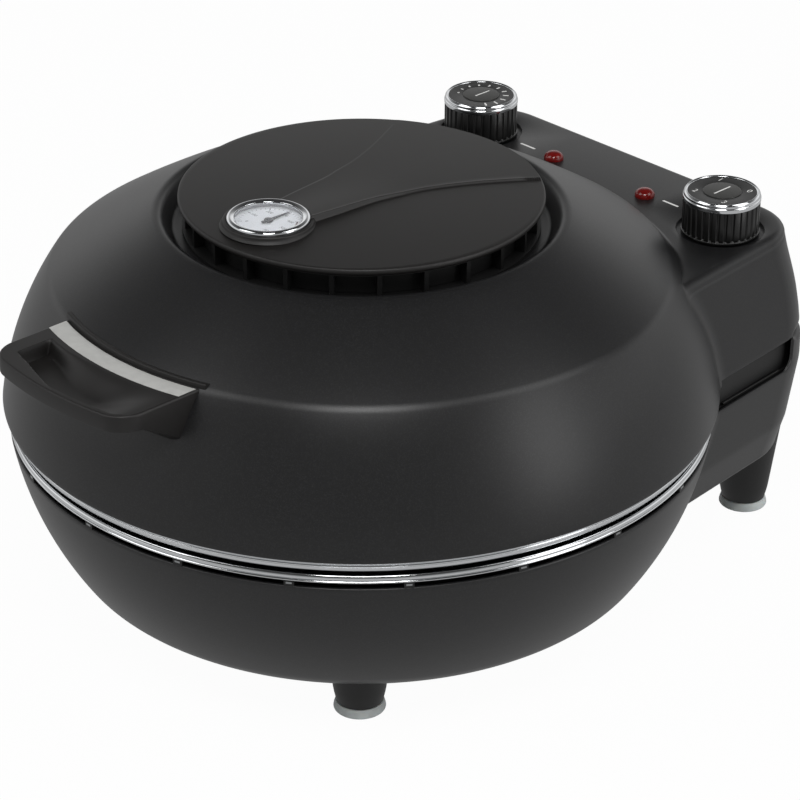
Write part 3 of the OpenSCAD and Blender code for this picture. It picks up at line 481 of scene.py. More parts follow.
def zinc_plate():
    """Zinc-plated steel: a grey metal with a slightly cloudy shine."""
    material, shader = new_material("zinc_plated_steel", "#a3a5a6", 0.35, 1.0)
    place = grain(material, shader, 0.7, 0.02, 0.3)
    mottle(material, shader, place, 4, grey(0.28), grey(0.42), "Roughness")
    return material


ENAMEL = stoved_enamel()
# Heat-proof plastic from spark-eroded moulds: a soft, even, warm black sheen
SATIN = finish("satin_black_moulding", "#131110", 0.5, (0.7, 0.02, 0.3), (4, "#110f0e"))
# The same plastic from a coarser mould, matt, for what lies in the dark; its colour, darker than
# the satin moulding, is painted shade
DARK = finish("matt_black_moulding_painted_shade", "#0f0f0f", 0.52, (0.7, 0.02, 0.3), (4, "#0d0d0d"))
# Polished black plastic of the knobs: deeper, with narrow lights along the flutes
KNOB_BLACK = finish("polished_black_moulding", "#0d0d0c", 0.34, (0.5, 0.02, 0.3), (4, "#0b0b0b"))
# Dark grey plastic of the caps in the knobs: a shade paler than what surrounds it
CAP_GREY = finish("satin_grey_moulding", "#333331", 0.4, (0.5, 0.02, 0.3), (4, "#2f2f2d"))
CHROME = chrome_plate()
SHEET = rolled_sheet()
# Silver-lacquered plastic strip: an even pale grey with a soft sheen
STRIP = finish(
    "silver_lacquered_strip", "#bcbcb9", 0.45, (0.5, 0.01, 0.2), (5, "#b8b8b5", "#c0c0bd")
)
# Pressed and fired cordierite: matt, sandy and slightly speckled
STONE = finish(
    "fired_cordierite", "#c9b291", 0.9, (1.2, 0.2, 0.6, 4.0), (3, "#b89f7d", "#d6c3a5")
)
# Pressed and fired steatite: pale, dry and faintly uneven
STEATITE = finish(
    "fired_steatite", "#dcd5c4", 0.6, (0.8, 0.05, 0.4), (6, "#d2cab7", "#e2dccd")
)
# Heat-tinted steel tube: dark grey with brown and blue patches
SHEATH = finish(
    "heat_tinted_sheath", "#3b3633", 0.5, (0.8, 0.03, 0.3), (18, "#2f2c2c", "#4a3f38"),
    metallic=0.8,
)
# Moulded silicone rubber: pale grey and slightly waxy
SILICONE = finish(
    "moulded_silicone", "#c0c3c2", 0.55, (0.6, 0.02, 0.3), (8, "#b9bcbb", "#c7cac9"),
    Subsurface_Weight=0.08,
)
# Moulded clear red acrylic: deep red, a little brighter where light passes through it
RUBY = finish(
    "moulded_red_acrylic", "#7a1512", 0.14, (1.5, 0.02, 0.15), (3, "#6e1210", "#851815"),
    Transmission_Weight=0.25, IOR=1.49,
)
GLASS = window_glass()
# Pad-printed inks: flat, opaque and very slightly rough
WHITE_INK = finish("white_pad_print", "#e9e9e7", 0.5, (0.4, 0.01, 0.2))
DIAL_WHITE = finish("white_dial_print", "#f0f0ee", 0.5, (0.4, 0.01, 0.2))
BLACK_INK = finish("black_dial_print", "#141414", 0.5, (0.4, 0.01, 0.2))
ZINC = zinc_plate()
# Drawn copper tube: warm and softly shiny
COPPER = finish(
    "drawn_copper", "#b9795a", 0.3, (0.8, 0.02, 0.3), (6, "#a96c50", "#c08263"), metallic=1.0
)


# ---- lid shell


def box_share(reach, round_r):
    """How far a column is in the box at its edge: 0 on the round wall and 1 on the box."""
    return smooth_step((reach - round_r + 0.3) / 0.6)


def lip_radius(y):
    """The lower edge is crisp along the slot and well rounded behind it."""
    return 0.8 + 3.4 * smooth_step((y - SLOT_END) / 7)


def edge_rows(wall, z, lip, way, depth):
    """The rounded edge of a shell at height z, and its inner face; way is 1 for upwards."""
    edge = wall(z + way * lip)
    rows = []
    for a in spread(0, pi / 2, 4)[1:]:
        rows.append((edge - lip * (1 - cos(a)), z + way * lip * (1 - sin(a))))
    inner = edge - lip - WALL_T
    return rows + [(inner, z), (inner, z + way * depth)]


def skin_points(sections):
    """The points of the sections of a shell, row after row."""
    return [polar(turn, *spot) for row in zip(*sections) for turn, spot in zip(TURNS, row)]


VENT_EDGE = rounded(
    [(80, VENT_FLOOR_Z), (VENT_R - 6.5, VENT_FLOOR_Z, 2), (VENT_R, VENT_Z, 5), CONE[-3]], 2
)


def crease_rows():
    """The cone and the crease, from the rim of the vent down to just below the crease."""
    high, low = CONE[1], (dome_r(CREASE_Z - 5), CREASE_Z - 5)
    turn = rounded([high, (CREASE_R, CREASE_Z, 5), low], 5, 6)
    return CONE[-3:1:-1] + turn[1:-1]


def lid_section(turn):
    """The lid in one plan direction as (radius, height), its flat row and the flat's width."""
    top_in = upper_inset(PANEL_Z, PANEL_EDGE)
    start = dome_r(PANEL_Z)
    width = max(box_reach(turn, *top_in), start) - start
    share = smooth_step(width / 30)
    rows = VENT_EDGE[:-1] + crease_rows()
    for z in spread(CREASE_Z - 4.6, PANEL_Z, 5):
        rows.append((dome_r(z), soft_max(z, PANEL_Z, 4 * share)))
    flat_start = start + min(7.0, width * 0.6)
    for r in spread(start, flat_start, 6)[1:]:
        blend = 4 * share * (1 - (r - start) / 8)
        rows.append((r, soft_max(PANEL_Z - (r - start) * 2.2, PANEL_Z, blend)))
    rows[-1] = (flat_start, PANEL_Z)
    flat_row = len(rows) - 1
    reach = box_reach(turn, *upper_inset(SPLIT_TOP_Z))
    y = reach * sin(turn)
    cut = 1 - smooth_step((y - 208) / 14)

    def wall(z, extra=0.0):
        inset = upper_inset(min(z, PANEL_Z - PANEL_EDGE), extra)
        blend = 5 * min(1, (PANEL_Z - z) / 6)
        return soft_max(dome_r(z), box_reach(turn, *inset), blend)

    for a in spread(0, pi / 2, 7):
        z = PANEL_Z - PANEL_EDGE * (1 - cos(a))
        rows.append((wall(z, PANEL_EDGE * (1 - sin(a)) + 0.4 * cut * sin(a)), z))
    foot = PANEL_Z - PANEL_EDGE
    for down, inward in ((0.35, 0.55), (0.8, 0.4), (1.3, 0.1), (1.9, 0.0)):
        rows.append((wall(foot - down, inward * cut), foot - down))
    on_box = box_share(box_reach(turn, *upper_inset(SLOT_TOP_Z)), LID_R)
    low = LID_Z + on_box * (slot_edge(turn, reach, 1) - LID_Z)
    lip = 0.8 + on_box * (lip_radius(y) - 0.8)
    for z in spread(foot - 3, low + lip, 26):
        rows.append((wall(z), z))
    return rows + edge_rows(wall, low, lip, 1, 7), flat_row, width


def panel_faces(points, flat_row, widths):
    """The flat of the panel with its two knob wells, as triangles, and its new points."""
    per_row = len(TURNS)
    wide = [j for j in range(per_row) if widths[j] > 12]
    inner = [points[flat_row * per_row + j] for j in wide]
    outer = [points[(flat_row + 1) * per_row + j] for j in wide]
    outline = [p.to_2d() for p in inner + outer[::-1]]
    edges = [(i, (i + 1) % len(outline)) for i in range(len(outline))]
    centres = [(side * KNOB_X, KNOB_Y) for side in (-1, 1)]
    flat = list(outline)
    for centre in centres:
        start = len(flat)
        flat += [p.to_2d() for p in circle(centre, WELL_R, PANEL_Z, WELL_STEPS)]
        edges += [(start + j, start + (j + 1) % WELL_STEPS) for j in range(WELL_STEPS)]
    verts, _, tris, *_ = delaunay_2d_cdt(flat, edges, [], 0, 1e-7)
    made, faces = [Vector((v.x, v.y, PANEL_Z * 0.001)) for v in verts], []
    wells = [at(*centre, PANEL_Z).to_2d() for centre in centres]
    for tri in tris:
        c = sum((verts[i] for i in tri), Vector((0, 0))) / len(tri)
        in_well = any((c - well).length < WELL_R * 0.001 * 0.999 for well in wells)
        if not in_well and inside(c, outline):
            faces.append(tuple(tri))
    profile = [
        (WELL_R, 0), (WELL_R - 0.25, 0.1), (WELL_R - 0.35, 0.4), (WELL_R - 0.35, WELL_D),
        (5, WELL_D),
    ]
    for centre in centres:
        start = len(made)
        for r, down in profile:
            made += circle(centre, r, PANEL_Z - down, WELL_STEPS)
        faces += [tuple(start + i for i in f) for f in grid_faces(len(profile), WELL_STEPS, True)]
    return set(wide), made, faces


def inside(point, outline):
    """Whether a plan point is inside a closed outline."""
    odd = False
    for a, b in zip(outline, outline[1:] + outline[:1]):
        if (a.y > point.y) != (b.y > point.y):
            if point.x < a.x + (point.y - a.y) * (b.x - a.x) / (b.y - a.y):
                odd = not odd
    return odd


def lid_shell():
    sections, flat_rows, widths = zip(*(lid_section(turn) for turn in TURNS))
    per_row, rows, flat_row = len(TURNS), len(sections[0]), flat_rows[0]
    points = skin_points(sections)
    wide, more_points, more_faces = panel_faces(points, flat_row, widths)
    faces = []
    for n, face in enumerate(grid_faces(rows, per_row, True)):
        row, column = divmod(n, per_row)
        if row == flat_row and column in wide and (column + 1) % per_row in wide:
            continue
        faces.append(face)
    start = len(points)
    faces += [tuple(start + i for i in f) for f in more_faces]
    make_mesh(
        "lid_skin", points + more_points, faces, ENAMEL, "lid", "shell_paint", 40, ("lid_shell",)
    )
    # the foot of the dome goes on inside the slot
    rear = [t for t in TURNS if box_reach(t, 0, 0) > LID_R - 2]
    rows = [(LID_R - 3, LID_Z + 4), (LID_R - 3, LID_Z), (LID_R - 0.5, LID_Z), (LID_R, LID_Z + 0.6)]
    rows += [(dome_r(z), z) for z in (LID_Z + 3, LID_Z + 6)]
    swept("dome_foot", rows, rear, polar, ENAMEL, "lid", "shell_paint")


# ---- base shell


def base_section(turn):
    """Points (radius, height) of the base in one plan direction, from the middle up."""
    bottom_in = lower_inset(FLOOR_Z + FLOOR_EDGE, FLOOR_EDGE)
    start = bowl_r(FLOOR_Z)
    flat_end = max(box_reach(turn, *bottom_in), start)
    width = flat_end - start
    share = smooth_step(width / 8)
    rows = [(0, STAND_Z), (60, STAND_Z), (110, STAND_Z)]
    rows += rounded([(140, STAND_Z), (149, STAND_Z, 8), (TURN_R, TURN_Z, 8), (bowl_r(40), 40)], 8)
    for z in spread(43, FLOOR_Z, 5):
        rows.append((bowl_r(z), z - 1.2 * share * smooth_step((z - 46) / 6)))
    for t in spread(0, 1, 5)[1:]:
        r = start + min(6.0, width * 0.5) * t
        rows.append((r, FLOOR_Z - 1.2 * share * (1 - t) ** 2))
    rows.append((flat_end, FLOOR_Z))
    reach = box_reach(turn, *lower_inset(SPLIT_LOW_Z))
    y = reach * sin(turn)

    def wall(z, extra=0.0):
        inset = lower_inset(max(z, FLOOR_Z + FLOOR_EDGE), extra)
        return soft_max(bowl_r(z), box_reach(turn, *inset), 5 * min(1, (z - FLOOR_Z) / 6))

    for a in spread(0, pi / 2, 5)[1:]:
        z = FLOOR_Z + FLOOR_EDGE * (1 - cos(a))
        rows.append((wall(z, FLOOR_EDGE * (1 - sin(a))), z))
    on_box = box_share(box_reach(turn, *lower_inset(BOWL_Z)), BOWL_R)
    high = BOWL_Z + on_box * (slot_edge(turn, reach, -1) - BOWL_Z)
    lip = 0.8 + on_box * (lip_radius(y) - 0.8)
    for z in spread(FLOOR_Z + FLOOR_EDGE + 1, high - lip, 24):
        rows.append((wall(z), z))
    return rows + edge_rows(wall, high, lip, -1, 9)


def base_shell():
    sections = [base_section(turn) for turn in TURNS]
    points = skin_points(sections)
    faces = grid_faces(len(sections[0]), len(TURNS), True)
    make_mesh("base_skin", points, faces, ENAMEL, "base", "shell_paint", 40, ("base_shell",))


def slot_sills():
    """The rib inside the base along the lower edge of each slot."""
    profile = rounded([(4.6, 97), (4.6, 107.6, 0.6), (6.4, 107.6, 0.6), (6.4, 97)], 0.6, 3)

    def spot(column, inward, z):
        turn, reach = column
        return polar(turn, reach - inward, z)

    for side, name in ((-1, "left"), (1, "right")):
        line = []
        for turn in TURNS:
            reach = box_reach(turn, *lower_inset(SLOT_LOW_Z))
            if side * cos(turn) > 0 and reach > 196 and reach * sin(turn) < SLOT_END - 5:
                line.append((turn, reach))
        swept(f"slot_sill_{name}", profile, line, spot, DARK, "base", "black_plastic")


# ---- trim rings


def bead(r, low, high, depth, steps=8):
    """A half-round bead of that depth between two heights."""
    shares = spread(0.02, 0.98, steps)
    return [(r + depth * sin(pi * t), low + (high - low) * t) for t in shares]


def trim_rings():
    low, high = BOWL_Z + 2.8, BOWL_Z + 7.4
    outline = [(BOWL_R - 4.2, low)] + bead(TRIM_R, low, low + 1.3, 0.5)
    outline += bead(TRIM_R + 0.1, low + 1.45, high, 0.9, 14) + [(BOWL_R - 8.2, high)]
    lathe("base_trim", outline, (0, 0), CHROME, "base", "chrome", 360, 70, ("base_trim_ring",))
    low = LID_Z - 5.7
    outline = [
        (TRIM_R - 5.6, low + 1.6), (TRIM_R - 0.6, low + 0.6), (TRIM_R, low),
        (TRIM_R + 0.5, low + 0.3), (TRIM_R + 0.7, low + 1.9),
    ]
    outline += bead(TRIM_R + 0.7, low + 2.1, low + 3.9, 0.8)
    outline += bead(TRIM_R + 1.2, low + 4.1, low + 5.6, 0.9) + [(TRIM_R - 1, low + 5.7)]
    lathe("lid_trim", outline, (0, 0), CHROME, "lid", "chrome", 360, 70, ("lid_trim_ring",))


def clip_tongues():
    """The bright tongues of the spring clips under the base trim; the clips' dark colour is painted
    shade.
    """
    corners = NODES["rim_clips"].data.vertices
    clips = [(v.co.x * 1000, v.co.y * 1000 - DOME_Y) for v in corners]
    turns = sorted(atan2(y, x) for x, y in clips)
    groups = [[turns[0]]]
    for turn in turns[1:]:
        if turn - groups[-1][-1] > 0.1:
            groups.append([])
        groups[-1].append(turn)
    out = max(hypot(x, y) for x, y in clips) + 0.1
    line = [(out - 0.3, 107.7), (out, 107.6), (out, 106.7), (out - 0.3, 106.5)]
    tongues = []
    for group in groups:
        centre = (group[0] + group[-1]) / 2
        turns = [centre + d for d in spread(-0.008, 0.008, 3)]
        tongues.append(swept("tongue", line, turns, polar, ZINC, "base", "chrome"))
    join("clip_tongues", tongues)


# ---- vent cover


WEDGE = [
    (-47, 14.7), (-36, 16.7), (-24, 17.7), (-5.5, 19.5), (5, 22.7), (17, 25), (27, 28.8),
    (37, 33), (47, 37.7), (56, 42.4), (65.5, 47.5), (75, 53), (80, 56),
]


def wedge_half(y):
    """Half width of the raised wedge behind the thermometer."""
    spots = [min(max(y + step, WEDGE[0][0]), WEDGE[-1][0]) for step in (-6, -3, 0, 3, 6)]
    return sum(look_up(WEDGE, spot, 0, 1) for spot in spots) / len(spots)


def cover_height(x, y):
    """Height of the top of the vent cover, with its raised wedge."""
    r = hypot(x, y)
    crown = COVER_Z + 0.2 + COVER_CROWN * (1 - (r / COVER_R) ** 2)
    rise = 0.7 + 2.0 * smooth_step((20 - y) / 70)
    half = wedge_half(y)
    rise *= 0.22 + 0.78 * smooth_step((x + half) / (2 * half))
    on = smooth_step((half + 0.9 - abs(x)) / 1.8)
    on *= smooth_step((y + GAUGE_Y) / 14)
    ridge = (0.35 if x > 0 else 0.0) * exp(-(((abs(x) - half + 0.9) / 0.8) ** 2)) * on
    # open under the thermometer, with the edge of the opening under its bezel
    low = COVER_Z - 1.0
    outside = smooth_step((hypot(x, y + GAUGE_Y) - OPENING_R) / 2.2)
    return low + (crown + rise * on + ridge - low) * outside


def vent_cover():
    points = []
    rows = 170
    for t in spread(0, pi, rows):
        y = -(COVER_R - 1.0) * cos(t)
        half = sqrt(max((COVER_R - 1.0) ** 2 - y * y, 0))
        mid = min(wedge_half(y), half * 0.8)
        inner = max(mid - 1.6, 0)
        outer = min(mid + 1.6, half * 0.97)
        across = spread(0, inner, 16) + spread(inner, outer, 12)[1:] + spread(outer, half, 28)[1:]
        line = [-x for x in across[:0:-1]] + across
        columns = len(line)
        points += [at(x, y, cover_height(x, y)) for x in line]
    faces = grid_faces(rows + 1, columns, False)
    left = [i * columns for i in range(rows + 1)]
    right = [i * columns + columns - 1 for i in range(rows, -1, -1)]
    loop = left + right[1:-1]
    rim = [
        (0.65, 0.1), (0.15, -0.25), (0, -1.1), (0, 0.9 - COVER_T), (0.6, 0.1 - COVER_T),
        (1.5, -COVER_T), (9, -COVER_T),
    ]
    previous = loop
    for inward, up in rim:
        start = len(points)
        for k in loop:
            spot = Vector((points[k].x * 1000, points[k].y * 1000 - DOME_Y))
            spot = spot.normalized() * (COVER_R - inward)
            points.append(at(spot.x, spot.y, COVER_Z + up))
        ring = list(range(start, len(points)))
        for j in range(len(ring)):
            k = (j + 1) % len(ring)
            faces.append((previous[j], previous[k], ring[k], ring[j]))
        previous = ring
    make_mesh("vent_lid", points, faces, SATIN, "lid", "black_plastic", 50, ("vent_cover",))
    boss = rounded(
        [
            (BOSS_R + 1.6, COVER_Z + 1.2), (BOSS_R + 0.3, COVER_Z + 2.6, 1.2),
            (BOSS_R, GAUGE_Z - 2.2, 0.9), (BEZEL_R + 0.2, GAUGE_Z - 2.0, 0.3),
            (BEZEL_R + 0.1, GAUGE_Z - 3.6),
        ],
        1,
    )
    lathe("gauge_boss", boss, (0, -GAUGE_Y), SATIN, "lid", "black_plastic", 128)
    # a dark band behind the vent gaps, in the darker black plastic whose colour is painted shade
    screen = [(84.0, 214.2), (84.8, 214.2), (84.8, 225.6), (84.0, 225.6), (84.0, 214.2)]
    lathe("vent_screen", screen, (0, 0), DARK, "lid", "black_plastic", 160)


# ---- thermometer


def strip(name, path, width, z, material, body, slot):
    """A thin printed line through plan points."""
    points = []
    for i, p in enumerate(path):
        a = Vector(path[max(i - 1, 0)])
        b = Vector(path[min(i + 1, len(path) - 1)])
        side = (b - a).normalized() * width / 2
        points += [at(p[0] - side.y, p[1] + side.x, z), at(p[0] + side.y, p[1] - side.x, z)]
    return make_mesh(name, points, grid_faces(len(path), 2, False), material, body, slot)


def join(name, pieces):
    """Makes one piece of several that share a body and a slot."""
    bm = bmesh.new()
    materials = []
    for piece in pieces:
        start = len(bm.faces)
        bm.from_mesh(piece.data)
        bm.faces.ensure_lookup_table()
        for m in piece.data.materials:
            if m not in materials:
                materials.append(m)
        for face in bm.faces[start:]:
            face.material_index = materials.index(piece.data.materials[face.material_index])
    mesh = bpy.data.meshes.new(name)
    bm.to_mesh(mesh)
    bm.free()
    for m in materials:
        mesh.materials.append(m)
    placed(name, mesh, pieces[0]["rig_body"], pieces[0]["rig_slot"])
    for piece in pieces:
        bpy.data.objects.remove(piece)


def dial_spot(centre, r, angle):
    """A plan point at that distance and direction from the centre of a dial."""
    turn = radians(angle)
    return centre[0] + r * cos(turn), centre[1] + r * sin(turn)


def numeral(text, x, y, z, size, material, body, slot):
    """A plain printed number, centred on a plan point."""
    curve = bpy.data.curves.new("numeral", "FONT")
    curve.body = text
    curve.align_x = curve.align_y = "CENTER"
    curve.size = size * 0.001
    holder = bpy.data.objects.new("numeral", curve)
    bpy.context.scene.collection.objects.link(holder)
    bpy.context.view_layer.update()
    mesh = bpy.data.meshes.new_from_object(holder)
    bpy.data.objects.remove(holder)
    mesh.transform(Matrix.Translation(at(x, y, z)))
    mesh.materials.clear()
    mesh.materials.append(material)
    return placed("numeral", mesh, body, slot)


def thermometer():
    centre = (0, -GAUGE_Y)
    bezel = rounded(
        [
            (19.1, GAUGE_Z - 3.9), (BEZEL_R, GAUGE_Z - 3.9, 0.2), (BEZEL_R, GAUGE_Z - 0.9, 0.9),
            (19.6, GAUGE_Z, 0.7), (18.4, GAUGE_Z - 0.3, 0.4), (17.2, GAUGE_Z - 0.9, 0.3),
            (17.0, GAUGE_Z - 2.4),
        ],
        0.5,
    )
    lathe(
        "gauge_bezel", bezel, centre, CHROME, "lid", "chrome", 128, 60,
        ("thermometer_bezel",),
    )
    ink = (BLACK_INK, "lid", "needle_black")
    marks = []
    for i in range(31):
        angle = 225 - 9 * i
        numbered = i % 5 == 0
        inner, width = (13.2, 0.45) if numbered else (14.3, 0.22)
        ends = [dial_spot(centre, r, angle) for r in (DIAL_R, inner)]
        marks.append(strip("mark", ends, width, DIAL_Z, *ink))
        if numbered:
            spot = dial_spot(centre, DIAL_TEXT_R, angle)
            marks.append(numeral(str(i * 20), *spot, DIAL_Z, 2.7, *ink))
    arc = [dial_spot(centre, DIAL_ARC_R, angle) for angle in spread(45, -45, 24)]
    marks.append(strip("hot_zone", arc, 0.9, DIAL_Z - 0.01, RUBY, "lid", "red_lens"))
    join("dial_marks", marks)


# ---- knobs


def rib_depth(turn):
    """Depth of the flutes of a knob, 0 on a rib and 1 between two."""
    share = (turn * KNOB_FLUTES / (2 * pi)) % 1.0
    return smooth_step(share / 0.16) * smooth_step((0.52 - share) / 0.16)


def knob(side, name):
    body = "temperature_knob" if side < 0 else "function_knob"
    plastic = (body, "knob_plastic")
    centre = (side * KNOB_X, KNOB_Y)
    low, top = PANEL_Z - WELL_D + 0.6, KNOB_TOP_Z - 5
    rows = [
        (4, low, 0), (KNOB_R - 0.6, low, 0), (KNOB_R, low + 0.5, 0), (KNOB_R, low + 1.4, 0),
        (KNOB_R - 0.5, low + 1.8, 0), (KNOB_R - 0.4, low + 2.4, 1), (KNOB_R - 0.4, top - 0.6, 1),
        (KNOB_R - 0.8, top, 1), (KNOB_R - 2.2, top, 0),
    ]
    steps = KNOB_FLUTES * 14
    points = []
    for r, z, ribbed in rows:
        for j in range(steps):
            turn = 2 * pi * j / steps
            reach = r - FLUTE_D * ribbed * rib_depth(turn)
            x, y = reach * cos(turn), reach * sin(turn)
            points.append(at(centre[0] + x, centre[1] + y, z))
    make_mesh(
        f"{name}_grip", points, grid_faces(len(rows), steps, True), KNOB_BLACK, *plastic, 40,
        (f"{name}_body",),
    )
    ring = rounded(
        [
            (KNOB_R - 2.4, top), (KNOB_R - 0.2, top, 0.3), (KNOB_R - 0.15, KNOB_TOP_Z - 2.9, 0.5),
            (KNOB_R - 0.75, KNOB_TOP_Z - 2.3, 0.4), (KNOB_R - 0.6, KNOB_TOP_Z - 1.3, 0.6),
            (KNOB_FACE_R + 0.9, KNOB_TOP_Z, 0.5), (KNOB_FACE_R, KNOB_TOP_Z - 0.7, 0.2),
            (KNOB_FACE_R, KNOB_TOP_Z - 1.6),
        ],
        0.4,
    )
    lathe(f"{name}_band", ring, centre, CHROME, body, "chrome", 160, 60, (f"{name}_ring",))
    face_z = KNOB_TOP_Z - 0.8
    face = rounded(
        [
            (0, face_z), (KNOB_CAP_R, face_z, 0.1), (KNOB_CAP_R + 0.25, face_z - 0.25, 0.1),
            (KNOB_CAP_R + 0.5, face_z, 0.1), (KNOB_FACE_R, face_z),
        ],
        0.1, 2,
    )
    lathe(f"{name}_disc", face, centre, KNOB_BLACK, *plastic, 160, 60, (f"{name}_face",))
    cap = rounded(
        [(0, face_z + 0.45), (KNOB_CAP_R - 0.1, face_z + 0.4, 0.4), (KNOB_CAP_R, face_z - 0.1)],
        0.4, 4,
    )
    lathe(f"{name}_cap", cap, centre, CAP_GREY, *plastic, 128, 60)
    join(f"{name}_marks", knob_marks(side, centre, face_z, (WHITE_INK, body, "dial_white")))


def knob_marks(side, centre, face_z, ink):
    """Four numbers on the right knob, an arc of strokes on the left one, and a pointer."""
    marks = []
    if side > 0:
        for i in range(4):
            spot = dial_spot(centre, KNOB_TEXT_R, 45 + 90 * i)
            marks.append(numeral(str(i), *spot, face_z + 0.03, 5.2, *ink))
    else:
        for i in range(11):
            ends = [dial_spot(centre, r, 215 - 25 * i) for r in (12.4, 13.6 + 0.28 * i)]
            marks.append(strip("mark", ends, 1.1, face_z + 0.03, *ink))
    tail = 6.5 if side > 0 else 4.5
    line = [(centre[0], centre[1] - tail), (centre[0], centre[1] + 6.5)]
    return marks + [strip("pointer", line, 1.0, face_z + 0.5, *ink)]


# ---- pilot lamps and panel print


def pilot_lamps():
    for side, name in ((-1, "left"), (1, "right")):
        foot = PANEL_Z + 0.6
        outline = [(0, foot + LAMP_H)]
        for a in spread(pi / 2 - 1e-3, 0, 14)[1:]:
            outline.append((LAMP_R * cos(a) ** 0.8, foot + LAMP_H * sin(a)))
        outline += [(LAMP_R, PANEL_Z + 0.02), (0, PANEL_Z + 0.02)]
        lathe(
            f"{name}_lens", outline, (side * LAMP_X, LAMP_Y), RUBY, "lid", "red_lens", 72, 50,
            (f"pilot_lens_{name}",),
        )
    ticks = []
    for start, y in ((-61.6, 180.6), (45.4, 181.4)):
        line = [(start, y), (start + 11, y)]
        ticks.append(strip("tick", line, 1.5, PANEL_Z + 0.04, WHITE_INK, "lid", "dial_white"))
    join("panel_ticks", ticks)


# ---- handle


def tray_loop(inset=0.0):
    """Points (x, radius) round the handle, seen from above, from its front middle."""
    half, near, far = HANDLE_HALF - inset, HANDLE_NEAR + inset, HANDLE_REACH - inset
    corner, near_corner = max(HANDLE_CORNER - inset, 0.05), max(0.5 - inset, 0.05)
    right = [(x, far) for x in spread(0, half - corner, 12)]
    for a in spread(pi / 2, 0, 10)[1:]:
        right.append((half - corner + corner * cos(a), far - corner + corner * sin(a)))
    right += [(half, r) for r in spread(far - corner, near + near_corner, 14)[1:]]
    for a in spread(0, -pi / 2, 4)[1:]:
        x = half - near_corner + near_corner * cos(a)
        right.append((x, near + near_corner + near_corner * sin(a)))
    right += [(x, near) for x in spread(half - near_corner, 0, 12)[1:]]
    return right + [(-x, r) for x, r in right[-2:0:-1]]


def on_arc(x, r, z):
    return at(x, -sqrt(r * r - x * x), z)


def cheek_foot(x, r):
    """Height of the lower edge of the handle: level in front, falling along the side cheeks."""
    level = HANDLE_Z - BAR_H
    if abs(x) < HANDLE_HALF - 6 or r > CHEEK_R:
        return level
    return level - (CHEEK_R - r) * CHEEK_FALL


def tray_depth(x, r):
    """Depth of the dish: a crisp edge at its left end and left front that fades to the right."""
    soft = smooth_step((x + 32) / 42)
    near = smooth_step((r - 172.6 - 3.4 * (1 - soft)) / (4.0 + 14 * soft))
    front_r = 195.3 + 0.085 * (x + 36)
    front = 1 - smooth_step((r - front_r) / (1.6 + 5 * soft))
    left = smooth_step((x + 39.8) / 1.8)
    right = 1 - smooth_step((x - 16) / 30)
    return TRAY_D * near * front * left * right


def handle():
    loops = []

    def ring(inset, height):
        pairs = zip(tray_loop(inset), tray_loop())
        loops.append([on_arc(*p, height(*q)) for p, q in pairs])

    ring(4.0, lambda x, r: HANDLE_Z - BAR_H)
    ring(4.0, cheek_foot)
    ring(0.8, cheek_foot)
    ring(0.2, lambda x, r: cheek_foot(x, r) + 0.25)
    ring(0.0, lambda x, r: cheek_foot(x, r) + 0.8)
    for a in spread(0, pi / 2, 5):
        drop = HANDLE_EDGE * (1 - sin(a))
        ring(HANDLE_EDGE * (1 - cos(a)), lambda x, r: HANDLE_Z - drop)
    ring(3.2, lambda x, r: HANDLE_Z - 0.03)
    points = [p for loop in loops for p in loop]
    count = len(loops[0])
    faces = grid_faces(len(loops), count, True) + [tuple(range(count))]
    make_mesh("tray_handle", points, faces, SATIN, "lid", "black_plastic", 40, ("handle",))
    half, corner = HANDLE_HALF - HANDLE_EDGE, HANDLE_CORNER - HANDLE_EDGE
    columns = spread(-half, -40.6, 8) + spread(-40.2, -37.6, 10) + spread(-37, half, 80)
    points = []
    for x in columns:
        past = max(abs(x) - (HANDLE_HALF - HANDLE_CORNER), 0)
        far = HANDLE_REACH - HANDLE_EDGE - corner + sqrt(max(corner**2 - past**2, 0))
        line = spread(HANDLE_NEAR + HANDLE_EDGE, far, 72)
        points += [on_arc(x, r, HANDLE_Z - tray_depth(x, r)) for r in line]
    faces = grid_faces(len(columns), len(line), False)
    make_mesh("handle_dish", points, faces, SATIN, "lid", "black_plastic", 40)
    # the flange of the handle that laps over the crease
    profile = [(156.8, 192.2), (157.8, 193.4, 0.8), (160.2, 193.5, 0.9), (160.6, 190.2)]
    profile = rounded(profile, 0.8)
    line = spread(-FLANGE_HALF, FLANGE_HALF, 60)
    points = [on_arc(x, r, z) for r, z in profile for x in line]
    faces = grid_faces(len(profile), len(line), False)
    for end in (0, len(line) - 1):
        faces.append(tuple(i * len(line) + end for i in range(len(profile))))
    make_mesh("handle_flange", points, faces, SATIN, "lid", "black_plastic")
    profile = rounded(
        [
            (STRIP_NEAR, HANDLE_Z - 0.4), (STRIP_NEAR, HANDLE_Z + 0.12, 0.3),
            (STRIP_FAR, HANDLE_Z + 0.12, 0.3), (STRIP_FAR, HANDLE_Z - 0.4),
        ],
        0.3, 3,
    )
    line = spread(-STRIP_HALF, STRIP_HALF, 60)
    swept("handle_strip", profile, line, on_arc, STRIP, "lid", "pale_strip", 40, ("handle_insert",))


# ---- legs


PAD_H = 4.8


